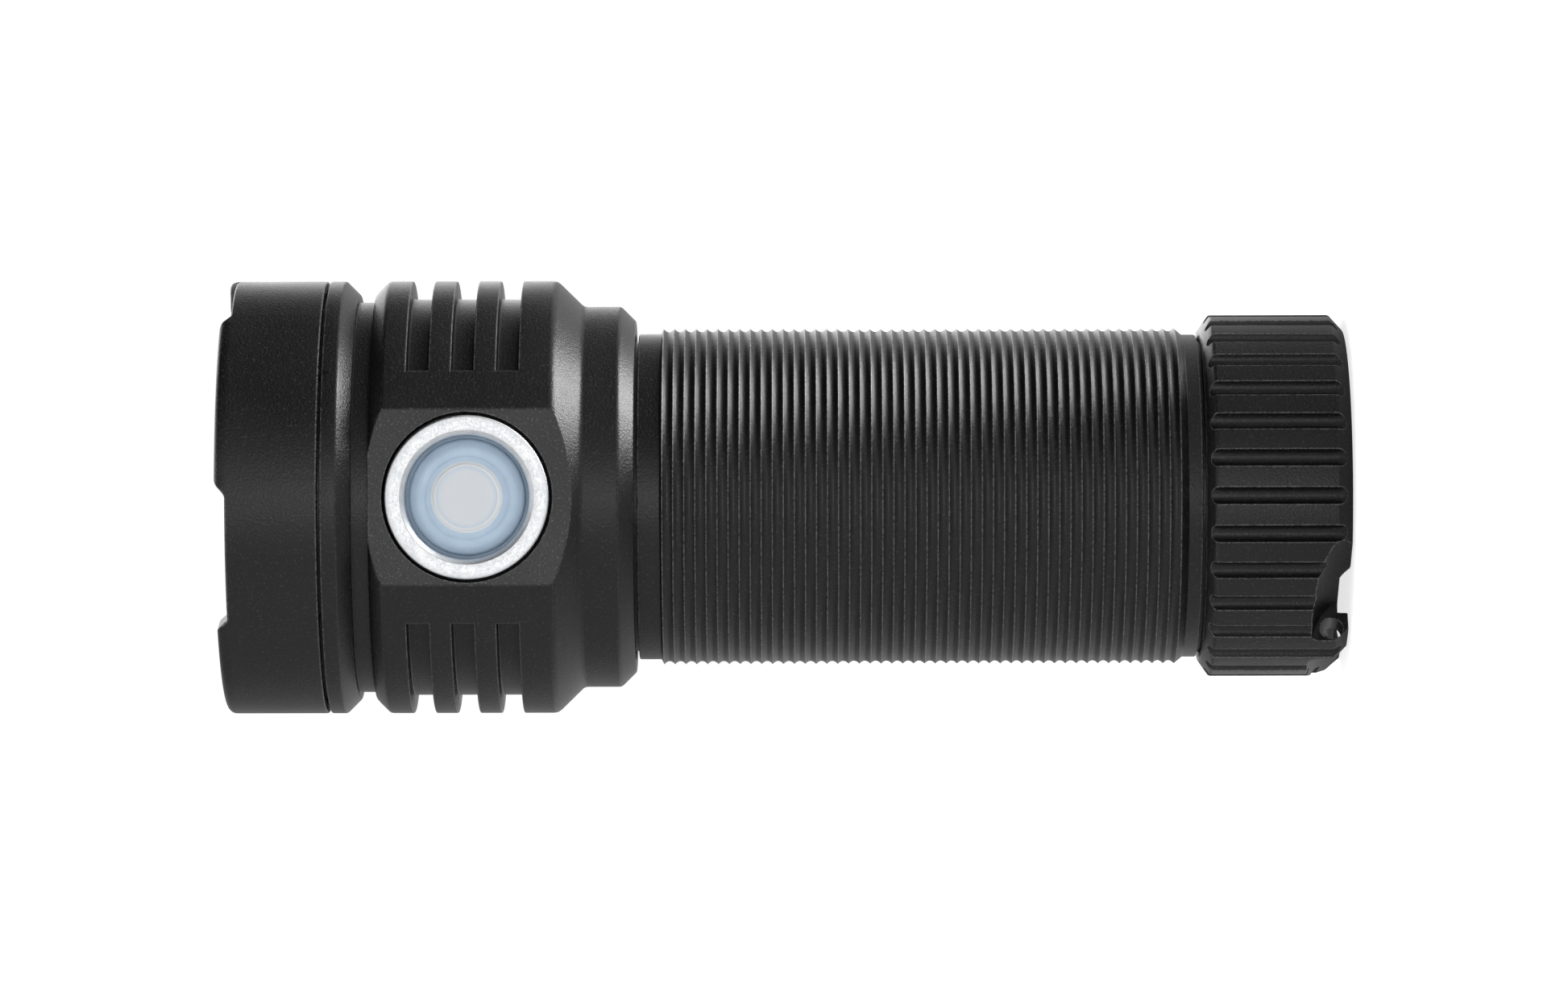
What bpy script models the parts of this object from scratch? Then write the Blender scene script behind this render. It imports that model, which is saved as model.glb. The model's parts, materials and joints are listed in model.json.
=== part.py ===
"""Tactical flashlight for one 26650 cell, with a side switch and a screw-on tail cap.

It stands upright on its tail: the origin is the centre of the tail's flat rim, +Z runs along the
beam and the switch faces -Y. Stations along Z are stacked up from the tail, from the sizes below.
The tail cap stands still: unscrewing turns the rest of the light and lifts it off the cap.
"""

import math

import bmesh
import bpy
from mathutils import Matrix, Vector

mm = 0.001
FULL_TURN = 2 * math.pi
SIDES = 36
SWITCH_SIDES = 24
SMALL_SIDES = 16

# Clearances
gap = 0.3 * mm  # between pieces that touch
cell_play = 0.35 * mm  # between the cell and the tube's bore
seal_play = 0.1 * mm  # between an O-ring and the bore that it seals
boot_play = 0.35 * mm  # between the rubber boot and the ring round it
through = 1.0 * mm  # a cutter runs this far past what it cuts
edge = 0.15 * mm  # a lightly broken edge

# Cell
cell_length = 65.5 * mm
cell_radius = 13.25 * mm
wrapper_wall = 0.25 * mm
can_wall = 0.4 * mm
crimp_depth = 1.6 * mm
bead = 0.6 * mm  # the pressed-in bead under the crimp
core_headroom = 1.4 * mm
terminal_radius = 8.9 * mm
terminal_rise = 1.0 * mm

# Battery tube
spigot_wall = 1.6 * mm
shoulder = 0.8 * mm  # the neck stands this far out from the spigot
crest_height = 0.5 * mm  # the grip rings stand this far out from the neck
neck_length = 2.4 * mm
band_length = 2.1 * mm
band_step = 0.14 * mm  # the rear band is this much smaller than the neck
front_end_setback = 0.2 * mm  # the tube stops this far short of the cell's end
o_ring_cord = 0.8 * mm
o_ring_setback = 1.1 * mm  # from the tube's shoulder to its O-ring groove
o_ring_groove_length = 1.4 * mm

# Tail cap
cap_length = 14.1 * mm
cap_wall = 2.25 * mm
cap_front_chamfer = 1.0 * mm
cap_front_chamfer_depth = 1.45 * mm
cap_rear_chamfer = 1.3 * mm
cap_rear_chamfer_depth = 1.45 * mm
cap_floor = 2.0 * mm
cap_seat_depth = 1.3 * mm
cap_seat_step = 2.9 * mm
tail_recess_depth = 1.0 * mm
tail_rim_width = 1.9 * mm
flute_count = 30
flute_radius = 0.8 * mm
lug_angle = 58.3  # degrees from -Y towards -X
lug_half_angle = 5.7
scoop_radius = 5.3 * mm
scoop_outset = 0.55 * mm  # the scoops' axis lies this far outside the cap
scoop_drop = 1.5 * mm  # and this far below the rim
lanyard_hole_radius = 1.2 * mm
lanyard_hole_inset = 1.75 * mm
lanyard_hole_height = 1.66 * mm

# Tail contact
tail_board_thickness = 0.8 * mm
spring_length = 6.1 * mm
spring_wire = 0.8 * mm
spring_base_radius = 5.6 * mm
spring_tip_radius = 3.8 * mm
spring_turns = 4.5
tail_ring_thickness = 1.5 * mm
tail_ring_width = 4.0 * mm

# Driver
contact_length = 2.6 * mm
contact_radius = 2.8 * mm
contact_flange = 0.7 * mm
contact_flange_width = 1.2 * mm
contact_chamfer = 0.4 * mm
driver_board_thickness = 1.2 * mm
driver_ledge = 1.2 * mm
driver_ring_width = 2.1 * mm
driver_ring_thickness = 1.8 * mm
led_wire_radius = 0.5 * mm
switch_wire_radius = 0.35 * mm
spanner_slot_width = 2.4 * mm
spanner_slot_depth = 0.8 * mm
driver_parts = (  # name, size in mm, and place on the board as shares of the chamber's radius
    ("driver_inductor", (6.0, 6.0, 3.8), (-0.39, 0.22)),
    ("driver_chip", (4.0, 4.0, 1.5), (0.44, -0.39)),
    ("driver_mosfet", (5.0, 4.5, 1.1), (0.475, 0.255)),
    ("driver_capacitor_1", (3.2, 2.5, 2.4), (-0.46, -0.375)),
    ("driver_capacitor_2", (2.5, 2.5, 2.0), (0.068, 0.695)),
)
part_bevel = 0.25 * mm

# Head, outside
socket_depth = 11.7 * mm  # from the head's rear face to the ledge that the driver sits on
collar_wall = 3.2 * mm
collar_length = 5.1 * mm
collar_chamfer = 1.45 * mm
cone_length = 2.6 * mm
cone_height = 2.54 * mm
finned_margin = 0.05 * mm  # the finned body runs this far past the switch pocket, both ways
fin_chamfer = 1.0 * mm
fin_lead_length = 0.3 * mm  # between the finned body's front chamfer and the groove
fin_lead_step = 0.35 * mm
groove_width = 1.65 * mm
groove_depth = 2.08 * mm
flange_length = 2.85 * mm
flange_chamfer = 1.33 * mm
slot_count = 3
slot_width = 2.15 * mm
slot_pitch = 4.33 * mm
slot_depth = 1.79 * mm
first_slot = 3.33 * mm  # from the finned body's rear edge to its first slot
slot_margin = 4.0 * mm  # the slots stop this far from the switch pocket

# Switch
ring_radius = 7.875 * mm
ring_width = 1.925 * mm
ring_bevel = 0.95 * mm
ring_bevel_depth = 0.76 * mm
ring_rise = 0.6 * mm
facet_margin = 0.27 * mm
pocket_depth = 5.3 * mm
pocket_wall = 1.2 * mm
pocket_roof = 0.7 * mm  # between the pocket and the front of the shelf
pocket_step = 0.55 * mm
pocket_ledge_height = 1.9 * mm
pocket_hole_radius = 1.6 * mm
pocket_hole_rise = 2.0 * mm  # above the switch's axis
switch_board_thickness = 0.8 * mm
tact_width = 5.2 * mm
tact_height = 1.5 * mm
stem_radius = 1.2 * mm
stem_length = 1.5 * mm
stem_rise = 0.6 * mm
stem_boss_wall = 0.4 * mm
indicator_size = (1.0 * mm, 1.6 * mm, 0.7 * mm)
indicator_offset = 3.9 * mm
boot_sink = 0.35 * mm  # the boot's pad lies this far below the ring's face
boot_wall = 0.7 * mm
boot_shoulder = 0.9 * mm
boot_flange_inset = 0.375 * mm  # the boot's flange is this much smaller than the ring
pad_radius = 3.2 * mm
pad_step = 0.4 * mm

# Light engine
shelf_thickness = 2.1 * mm
led_board_thickness = 1.5 * mm
led_size = 5.0 * mm
led_base_height = 0.7 * mm
led_dome_radius = 2.3 * mm
led_dome_height = 1.7 * mm
insulator_thickness = 0.8 * mm
reflector_depth = 6.6 * mm
reflector_rim = 0.45 * mm
cup_web = 0.5 * mm
cup_throat_radius = 3.2 * mm
wire_hole_radius = 2.2 * mm
wire_room_radius = 4.2 * mm  # under the reflector, where the leads bend outwards
wire_room_height = 1.3 * mm
board_margin = 0.4 * mm
screw_radius = 1.0 * mm
screw_head_radius = 1.9 * mm
hex_socket_radius = 0.8 * mm
hex_socket_depth = 0.5 * mm
screw_length = 3.6 * mm
screw_inset = 2.5 * mm  # from the chamber's wall to the board screws
lens_thickness = 1.6 * mm
gasket_thickness = 0.6 * mm
gasket_width = 0.7 * mm

# Bezel
bezel_wall = 1.0 * mm
front_spigot_wall = 1.9 * mm
lens_step = 0.3 * mm
lip_overlap = 1.2 * mm
lip_thickness = 1.35 * mm
tooth_height = 1.05 * mm
notch_half_width = 6.3 * mm
notch_angle = 16.75  # degrees from -Y towards -X
bezel_rounding = 0.8 * mm
bezel_ring_cord = 1.0 * mm

# Radii, worked out from the cell outwards
tube_bore = cell_radius + cell_play
spigot_radius = tube_bore + spigot_wall
socket_radius = spigot_radius + gap
neck_radius = spigot_radius + shoulder
crest_radius = neck_radius + crest_height
band_radius = neck_radius - band_step
o_ring_radius = socket_radius - seal_play - o_ring_cord / 2
o_ring_groove_radius = o_ring_radius - o_ring_cord / 2 - gap
cap_radius = socket_radius + cap_wall
collar_radius = socket_radius + collar_wall
head_radius = collar_radius + cone_height
pocket_radius = ring_radius + gap
ring_opening = ring_radius - ring_width
boot_flange_radius = ring_radius - boot_flange_inset
facet_distance = math.sqrt(head_radius**2 - (pocket_radius + facet_margin) ** 2)
pocket_floor = facet_distance - pocket_depth
driver_bore = pocket_floor - pocket_wall
chamber_radius = driver_bore - driver_ledge
screw_offset = chamber_radius - screw_inset
slot_end = pocket_radius + slot_margin
front_spigot_radius = head_radius - bezel_wall - gap
cavity_radius = front_spigot_radius - front_spigot_wall
reflector_radius = cavity_radius - gap
cup_radius = (reflector_radius - reflector_rim - cup_web / math.sqrt(2)) / (1 + math.sqrt(2))
cup_offset = cup_radius + cup_web / 2
lens_pocket_radius = front_spigot_radius - lens_step
lens_radius = lens_pocket_radius - gap
lip_radius = lens_pocket_radius - lip_overlap
bezel_bore = front_spigot_radius + gap

# Stations, worked out from the tail upwards
cap_floor_top = tail_recess_depth + cap_floor
cap_seat_top = cap_floor_top + cap_seat_depth
tail_ring_base = cap_seat_top + gap
tail_ring_face = tail_ring_base + tail_ring_thickness
tail_board_top = cap_floor_top + gap + tail_board_thickness
spring_bottom = tail_board_top + gap
cell_bottom = spring_bottom + spring_length + gap
cell_top = cell_bottom + cell_length
contact_bottom = cell_top + gap
driver_board_bottom = contact_bottom + contact_length + gap
driver_board_top = driver_board_bottom + driver_board_thickness
ledge = driver_board_top + gap
head_rear = ledge - socket_depth
collar_top = head_rear + collar_length
fins_bottom = collar_top + cone_length
switch_height = fins_bottom + finned_margin + pocket_radius
fins_top = switch_height + pocket_radius + finned_margin
shelf_top = switch_height + pocket_radius + pocket_roof
shelf_bottom = shelf_top - shelf_thickness
led_board_bottom = shelf_top + gap
led_board_top = led_board_bottom + led_board_thickness
led_bottom = led_board_top + gap
reflector_bottom = led_bottom + insulator_thickness + gap
reflector_top = reflector_bottom + reflector_depth
lens_bottom = reflector_top + gap
lens_top = lens_bottom + lens_thickness
gasket_bottom = lens_top + gap
lip_bottom = gasket_bottom + gasket_thickness + gap
notch_floor = lip_bottom + lip_thickness
bezel_top = notch_floor + tooth_height
groove_bottom = fins_top + fin_chamfer + fin_lead_length
groove_top = groove_bottom + groove_width
flange_top = groove_top + flange_length
bezel_bottom = flange_top + gap
tube_shoulder_front = head_rear - gap
tube_shoulder_rear = cap_length + gap
tube_front = cell_top - front_end_setback
tube_rear = tail_ring_face + gap
socket_top = tube_front + gap

# Distances from the flashlight's axis, out through the switch
switch_board_bottom = pocket_floor + gap
switch_board_top = switch_board_bottom + switch_board_thickness
tact_bottom = switch_board_top + gap
tact_top = tact_bottom + tact_height
stem_top = tact_top + stem_rise
boot_bottom = tact_top - gap
ring_bottom = boot_bottom + boot_wall + gap
ring_top = facet_distance + ring_rise
boot_top = ring_top - boot_sink
pocket_ledge = pocket_floor + pocket_ledge_height

BLACK_ANODISED = ((0.025, 0.025, 0.027), 0.85, 0.42)
BARE_ALUMINIUM = ((0.75, 0.76, 0.78), 1.0, 0.25)
MIRROR_ALUMINIUM = ((0.92, 0.92, 0.93), 1.0, 0.06)
STEEL = ((0.60, 0.60, 0.62), 1.0, 0.3)
BRASS = ((0.78, 0.60, 0.26), 1.0, 0.28)
COPPER = ((0.80, 0.44, 0.30), 1.0, 0.35)
BOARD_GREEN = ((0.03, 0.20, 0.08), 0.0, 0.45)
BLACK_RUBBER = ((0.02, 0.02, 0.02), 0.0, 0.65)
PALE_SILICONE = ((0.55, 0.66, 0.74), 0.0, 0.35)
BLACK_RESIN = ((0.03, 0.03, 0.032), 0.0, 0.4)
DARK_FOIL = ((0.20, 0.20, 0.21), 0.6, 0.4)
WHITE_PLASTIC = ((0.88, 0.88, 0.86), 0.0, 0.5)
CLEAR_GLASS = ((0.85, 0.90, 0.92), 0.0, 0.03)
AMBER_PHOSPHOR = ((0.92, 0.78, 0.25), 0.0, 0.2)
BLUE_SLEEVE = ((0.05, 0.16, 0.45), 0.0, 0.35)
RED_SILICONE = ((0.60, 0.04, 0.03), 0.0, 0.5)
CAPACITOR_TAN = ((0.55, 0.42, 0.28), 0.0, 0.5)


def clear_scene():
    for obj in list(bpy.data.objects):
        bpy.data.objects.remove(obj, do_unlink=True)


def new_collection(name):
    collection = bpy.data.collections.new(name)
    bpy.context.scene.collection.children.link(collection)
    return collection


def place(name, data, cutter=False):
    """An object in the flashlight's collection, or a hidden cutter in the other one."""
    obj = bpy.data.objects.new(name, data)
    (cutters if cutter else pieces).objects.link(obj)
    if cutter:
        obj.hide_render = True
        obj.display_type = "WIRE"
    return obj


def from_bmesh(name, shape, cutter=False):
    mesh = bpy.data.meshes.new(name)
    shape.to_mesh(mesh)
    shape.free()
    return place(name, mesh, cutter)


def shade(mesh, angle=35):
    mesh.shade_smooth()
    mesh.set_sharp_from_angle(angle=math.radians(angle))


def bake(obj):
    """Gives the object its evaluated mesh, with no modifiers left."""
    bpy.context.view_layer.update()
    graph = bpy.context.evaluated_depsgraph_get()
    mesh = bpy.data.meshes.new_from_object(obj.evaluated_get(graph))
    obj.modifiers.clear()
    obj.data = mesh
    shade(mesh)


def turned(name, outlines, steps=SIDES, cutter=False):
    """A piece turned about Z. Each outline is a list of (radius, height) points down its outer side;
    one that doesn't start on the axis is closed into a ring."""
    shape = bmesh.new()
    for outline in outlines:
        corners = [shape.verts.new((radius, 0, height)) for radius, height in outline]
        for upper, lower in zip(corners, corners[1:]):
            shape.edges.new((upper, lower))
        if outline[0][0] > 0:
            shape.edges.new((corners[-1], corners[0]))
    obj = from_bmesh(name, shape, cutter)
    screw = obj.modifiers.new("turn", "SCREW")
    screw.angle = FULL_TURN
    screw.steps = steps
    screw.render_steps = steps
    screw.use_merge_vertices = True
    screw.merge_threshold = 0.01 * mm
    bake(obj)
    return obj


def ring_outline(inner, outer, bottom, top):
    return [(inner, top), (outer, top), (outer, bottom), (inner, bottom)]


def disc_outline(radius, bottom, top):
    return [(0, top), (radius, top), (radius, bottom), (0, bottom)]


def boxes(name, sizes_and_centres, cutter=False):
    shape = bmesh.new()
    for size, centre in sizes_and_centres:
        matrix = Matrix.Translation(centre) @ Matrix.Diagonal((*size, 1))
        bmesh.ops.create_cube(shape, size=1, matrix=matrix)
    return from_bmesh(name, shape, cutter)


def rods(name, runs, sides=SMALL_SIDES, cutter=False):
    """Round bars, each given as (radius, start, end)."""
    shape = bmesh.new()
    for radius, start, end in runs:
        start, end = Vector(start), Vector(end)
        along = end - start
        turn = along.to_track_quat("Z", "Y").to_matrix().to_4x4()
        bmesh.ops.create_cone(
            shape,
            cap_ends=True,
            segments=sides,
            radius1=radius,
            radius2=radius,
            depth=along.length,
            matrix=Matrix.Translation((start + end) / 2) @ turn,
        )
    obj = from_bmesh(name, shape, cutter)
    shade(obj.data)
    return obj


def boolean(obj, other, operation="DIFFERENCE"):
    modifier = obj.modifiers.new(other.name, "BOOLEAN")
    modifier.operation = operation
    modifier.solver = "EXACT"
    modifier.object = other


def soften(obj, width):
    bevel = obj.modifiers.new("edges", "BEVEL")
    bevel.width = width
    bevel.segments = 1


def smooth_route(points, per_span=5):
    """Points along one smooth curve through the given ones."""
    knots = [Vector(point) for point in points]
    knots = [knots[0], *knots, knots[-1]]
    route = []
    for before, start, end, after in zip(knots, knots[1:], knots[2:], knots[3:]):
        for step in range(per_span):
            t = step / per_span
            route.append(
                0.5
                * (
                    2 * start
                    + (end - before) * t
                    + (2 * before - 5 * start + 4 * end - after) * t**2
                    + (3 * start - before - 3 * end + after) * t**3
                )
            )
    return [*route, knots[-1]]


def wire(name, route, radius):
    curve = bpy.data.curves.new(name, "CURVE")
    curve.dimensions = "3D"
    curve.bevel_depth = radius
    curve.bevel_resolution = 2
    curve.use_fill_caps = True
    spline = curve.splines.new("POLY")
    spline.points.add(len(route) - 1)
    for spline_point, point in zip(spline.points, route):
        spline_point.co = (*point, 1)
        spline_point.radius = 1
    return place(name, curve)


def finish(obj, look):
    colour, metallic, roughness = look
    material = bpy.data.materials.new(obj.name + "_finish")
    material.use_nodes = True
    shader = material.node_tree.nodes["Principled BSDF"]
    shader.inputs["Base Color"].default_value = (*colour, 1)
    shader.inputs["Metallic"].default_value = metallic
    shader.inputs["Roughness"].default_value = roughness
    obj.data.materials.clear()
    obj.data.materials.append(material)
    return obj


def axis_empty(name, location):
    """Stands on a joint's axis and carries the pieces that move with it."""
    empty = place(name, None)
    empty.empty_display_size = 5 * mm
    empty.location = location
    return empty


def outward(angle):
    """The direction out from the axis at this many degrees from -Y towards -X."""
    turn = math.radians(angle)
    return Vector((-math.sin(turn), -math.cos(turn), 0))


def sideways(angle):
    """The direction round the axis there, towards a larger angle."""
    turn = math.radians(angle)
    return Vector((-math.cos(turn), math.sin(turn), 0))


def face_switch_side(obj):
    """Turns a piece that was modelled along Z so that it points out through the switch facet."""
    obj.rotation_euler = (math.pi / 2, 0, 0)
    obj.location = (0, 0, switch_height)
    return obj


def make_bezel():
    corner = bezel_rounding * (1 - math.sqrt(0.5))
    outline = [
        (lip_radius, bezel_top),
        (head_radius - bezel_rounding, bezel_top),
        (head_radius - corner, bezel_top - corner),
        (head_radius, bezel_top - bezel_rounding),
        (head_radius, bezel_bottom + gap / 2),
        (head_radius - gap / 2, bezel_bottom),
        (bezel_bore, bezel_bottom),
        (bezel_bore, lens_bottom),
        (lens_pocket_radius, lens_bottom),
        (lens_pocket_radius, lip_bottom),
        (lip_radius, lip_bottom),
    ]
    bezel = turned("bezel_ring", [outline])
    for index in range(2):
        boolean(bezel, notch_cutter(index))
    finish(bezel, BLACK_ANODISED)

    finish(turned("lens", [disc_outline(lens_radius, lens_bottom, lens_top)]), CLEAR_GLASS)
    gasket_top = gasket_bottom + gasket_thickness
    gasket_outline = ring_outline(lens_radius - gasket_width, lens_radius, gasket_bottom, gasket_top)
    finish(turned("lens_gasket", [gasket_outline]), BLACK_RUBBER)


def notch_cutter(index):
    """A slot right across the bezel, with sides that slope at 45 degrees."""
    top_width = notch_half_width + 2 * tooth_height
    top = notch_floor + 2 * tooth_height
    across = sideways(notch_angle + 90 * index)
    along = outward(notch_angle + 90 * index) * 2 * head_radius
    shape = bmesh.new()
    corners = []
    for side, height in ((-1, notch_floor), (1, notch_floor), (1, top), (-1, top)):
        width = top_width if height == top else notch_half_width
        corners.append(shape.verts.new(across * side * width + Vector((0, 0, height)) - along))
    face = shape.faces.new(corners)
    sweep = bmesh.ops.extrude_face_region(shape, geom=[face])
    moved = [item for item in sweep["geom"] if isinstance(item, bmesh.types.BMVert)]
    bmesh.ops.translate(shape, verts=moved, vec=2 * along)
    bmesh.ops.recalc_face_normals(shape, faces=shape.faces)
    return from_bmesh(f"notch_cutter_{index + 1}", shape, cutter=True)


def o_ring(name, radius, height, cord):
    """A torus, as a turned circle."""
    sides = 6
    turns = [FULL_TURN * (side + 0.5) / sides for side in range(sides)]
    outline = [(radius + cord / 2 * math.sin(turn), height + cord / 2 * math.cos(turn)) for turn in turns]
    return finish(turned(name, [outline]), BLACK_RUBBER)


def make_head():
    groove_half = bezel_ring_cord / 2 + gap
    groove_centre = flange_top + o_ring_setback + groove_half
    seal_radius = bezel_bore - seal_play - bezel_ring_cord / 2
    groove_floor = seal_radius - bezel_ring_cord / 2 - gap
    outline = [
        (0, shelf_top),
        (cavity_radius, shelf_top),
        (cavity_radius, reflector_top),
        (front_spigot_radius, reflector_top),
        (front_spigot_radius, groove_centre + groove_half),
        (groove_floor, groove_centre + groove_half),
        (groove_floor, groove_centre - groove_half),
        (front_spigot_radius, groove_centre - groove_half),
        (front_spigot_radius, flange_top),
        (head_radius - gap / 2, flange_top),
        (head_radius, flange_top - gap / 2),
        (head_radius, groove_top + flange_chamfer),
        (head_radius - flange_chamfer, groove_top),
        (head_radius - groove_depth, groove_top),
        (head_radius - groove_depth, groove_bottom),
        (head_radius - fin_chamfer - fin_lead_step, groove_bottom),
        (head_radius - fin_chamfer, fins_top + fin_chamfer),
        (head_radius, fins_top),
        (head_radius, fins_bottom),
        (collar_radius, collar_top),
        (collar_radius, head_rear + collar_chamfer),
        (collar_radius - collar_chamfer, head_rear),
        (socket_radius, head_rear),
        (socket_radius, socket_top),
        (driver_bore, socket_top),
        (driver_bore, ledge),
        (chamber_radius, ledge),
        (chamber_radius, shelf_bottom),
        (0, shelf_bottom),
    ]
    head = turned("head_body", [outline])
    boolean(head, slots_cutter())
    reach = 2 * head_radius
    facet_bottom = collar_top - gap
    facet_height = groove_bottom + gap - facet_bottom
    facet_centre = (0, -facet_distance - reach / 2, facet_bottom + facet_height / 2)
    boolean(head, boxes("facet_cutter", [((reach, reach, facet_height), facet_centre)], cutter=True))
    boolean(head, pocket_cutter())
    boolean(head, holes_cutter("shelf_holes_cutter", screw_radius + gap, shelf_bottom, shelf_top))
    finish(head, BLACK_ANODISED)

    o_ring("bezel_o_ring", seal_radius, groove_centre, bezel_ring_cord)


def holes_cutter(name, screw_hole_radius, bottom, top, middle_radius=wire_hole_radius):
    """The middle hole for the leads and one for each board screw, through the same layer."""
    low, high = bottom - through, top + through
    runs = [(middle_radius, (0, 0, low), (0, 0, high))]
    for side in (-1, 1):
        runs.append((screw_hole_radius, (0, side * screw_offset, low), (0, side * screw_offset, high)))
    return rods(name, runs, cutter=True)


def slots_cutter():
    """Three rings, cut away beside the switch so that the slots stop there. They are turned half a
    step, so that their edges miss the head's."""
    inner, outer = head_radius - slot_depth, head_radius + through
    rings = []
    for index in range(slot_count):
        bottom = fins_bottom + first_slot + slot_pitch * index
        rings.append(ring_outline(inner, outer, bottom, bottom + slot_width))
    cutter = turned("slots_cutter", rings, cutter=True)
    cutter.rotation_euler.z = FULL_TURN / SIDES / 2
    block_size = (2 * slot_end, 2 * head_radius, 2 * (fins_top - fins_bottom))
    block_centre = (0, -head_radius, switch_height)
    boolean(cutter, boxes("slot_end_cutter", [(block_size, block_centre)], cutter=True))
    return cutter


def pocket_cutter():
    """The stepped pocket behind the switch, with a wire hole through to the driver chamber."""
    outline = [
        (0, ring_top + through),
        (pocket_radius, ring_top + through),
        (pocket_radius, pocket_ledge),
        (pocket_radius - pocket_step, pocket_ledge),
        (pocket_radius - pocket_step, pocket_floor),
        (0, pocket_floor),
    ]
    cutter = face_switch_side(turned("pocket_cutter", [outline], SWITCH_SIDES, cutter=True))
    hole_start = (0, pocket_hole_rise, chamber_radius - 2 * through)
    hole_end = (0, pocket_hole_rise, pocket_floor + through)
    hole = rods("pocket_wire_hole", [(pocket_hole_radius, hole_start, hole_end)], cutter=True)
    boolean(cutter, face_switch_side(hole), "UNION")
    return cutter


def make_switch():
    ring_outer = [
        (ring_radius, ring_bottom),
        (ring_opening, ring_bottom),
        (ring_opening, ring_top - ring_bevel_depth),
        (ring_opening + ring_bevel, ring_top),
        (ring_radius - edge, ring_top),
        (ring_radius, ring_top - edge),
    ]
    finish(face_switch_side(turned("switch_ring", [ring_outer], SWITCH_SIDES)), BARE_ALUMINIUM)

    board_radius = pocket_radius - pocket_step - gap
    board_outline = disc_outline(board_radius, switch_board_bottom, switch_board_top)
    board = turned("switch_board", [board_outline], SWITCH_SIDES)
    finish(face_switch_side(board), BOARD_GREEN)

    tact_size = (tact_width, tact_width, tact_height)
    tact = boxes("tact_switch", [(tact_size, (0, 0, (tact_bottom + tact_top) / 2))])
    soften(tact, part_bevel)
    stem_hole = (stem_radius + gap, (0, 0, tact_bottom - through), (0, 0, tact_top + through))
    boolean(tact, face_switch_side(rods("stem_hole_cutter", [stem_hole], cutter=True)))
    finish(face_switch_side(tact), BLACK_RESIN)

    for index, side in enumerate((-1, 1)):
        centre = (side * indicator_offset, 0, tact_bottom + indicator_size[2] / 2)
        led = boxes(f"indicator_led_{index + 1}", [(indicator_size, centre)])
        finish(face_switch_side(led), WHITE_PLASTIC)

    boot_radius = ring_opening - boot_play
    inner_radius = boot_radius - boot_wall
    boss_radius = stem_radius + stem_boss_wall
    shoulder_top = boot_top - pad_step
    roof = shoulder_top - boot_wall
    boot_outline = [
        (0, boot_top),
        (pad_radius - edge, boot_top),
        (pad_radius, boot_top - edge),
        (pad_radius, shoulder_top),
        (boot_radius - boot_shoulder, shoulder_top),
        (boot_radius - boot_shoulder / 4, shoulder_top - boot_shoulder / 2),
        (boot_radius, shoulder_top - boot_shoulder),
        (boot_radius, boot_bottom + boot_wall),
        (boot_flange_radius, boot_bottom + boot_wall),
        (boot_flange_radius, boot_bottom),
        (inner_radius, boot_bottom),
        (inner_radius, roof - boot_shoulder / 2),
        (inner_radius - boot_shoulder / 2, roof),
        (boss_radius, roof),
        (boss_radius, stem_top + gap),
        (0, stem_top + gap),
    ]
    press = axis_empty("switch_press", (0, 0, switch_height))
    boot = finish(turned("switch_boot", [boot_outline], SWITCH_SIDES), PALE_SILICONE)
    stem_outline = disc_outline(stem_radius, stem_top - stem_length, stem_top)
    stem = finish(turned("tact_switch_stem", [stem_outline], SMALL_SIDES), WHITE_PLASTIC)
    for piece in (boot, stem):
        piece.rotation_euler = (math.pi / 2, 0, 0)
        piece.parent = press


def make_light_engine():
    board_radius = cavity_radius - gap - board_margin
    corners = ((1, 1), (-1, 1), (-1, -1), (1, -1))
    cup_centres = [Vector((side_x * cup_offset, side_y * cup_offset, 0)) for side_x, side_y in corners]

    board = turned("led_board", [disc_outline(board_radius, led_board_bottom, led_board_top)])
    holes = holes_cutter("led_board_holes_cutter", screw_radius + gap, led_board_bottom, led_board_top)
    boolean(board, holes)
    finish(board, COPPER)

    plate_top = led_bottom + insulator_thickness
    plate = turned("led_insulator", [disc_outline(board_radius, led_bottom, plate_top)])
    window_width = led_size + 2 * gap
    window_size = (window_width, window_width, insulator_thickness + 2 * through)
    windows = [(window_size, (spot.x, spot.y, (led_bottom + plate_top) / 2)) for spot in cup_centres]
    boolean(plate, boxes("led_window_cutter", windows, cutter=True))
    head_hole = screw_head_radius + gap
    holes = holes_cutter("led_insulator_holes_cutter", head_hole, led_bottom, plate_top, wire_room_radius)
    boolean(plate, holes)
    finish(plate, WHITE_PLASTIC)

    for index, spot in enumerate(cup_centres):
        make_led(f"led_{index + 1}", spot)
    for index, side in enumerate((-1, 1)):
        make_board_screw(f"led_board_screw_{index + 1}", (0, side * screw_offset, 0))
    make_reflector(cup_centres)
    make_led_wires()


def make_led(name, spot):
    """A square ceramic base with a round silicone dome on it."""
    base_middle = led_bottom + led_base_height / 2
    base_top = led_bottom + led_base_height
    led = boxes(name, [((led_size, led_size, led_base_height), (0, 0, base_middle))])
    dome_outline = []
    for degrees in (90, 60, 30, 0):
        turn = math.radians(degrees)
        radius = 0 if degrees == 90 else led_dome_radius * math.cos(turn)
        dome_outline.append((radius, base_top + led_dome_height * math.sin(turn)))
    dome_outline += [(led_dome_radius, base_middle), (0, base_middle)]
    dome = turned(name + "_dome", [dome_outline], SMALL_SIDES, cutter=True)
    boolean(led, dome, "UNION")
    led.location = spot
    dome.location = spot
    finish(led, AMBER_PHOSPHOR)


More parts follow.
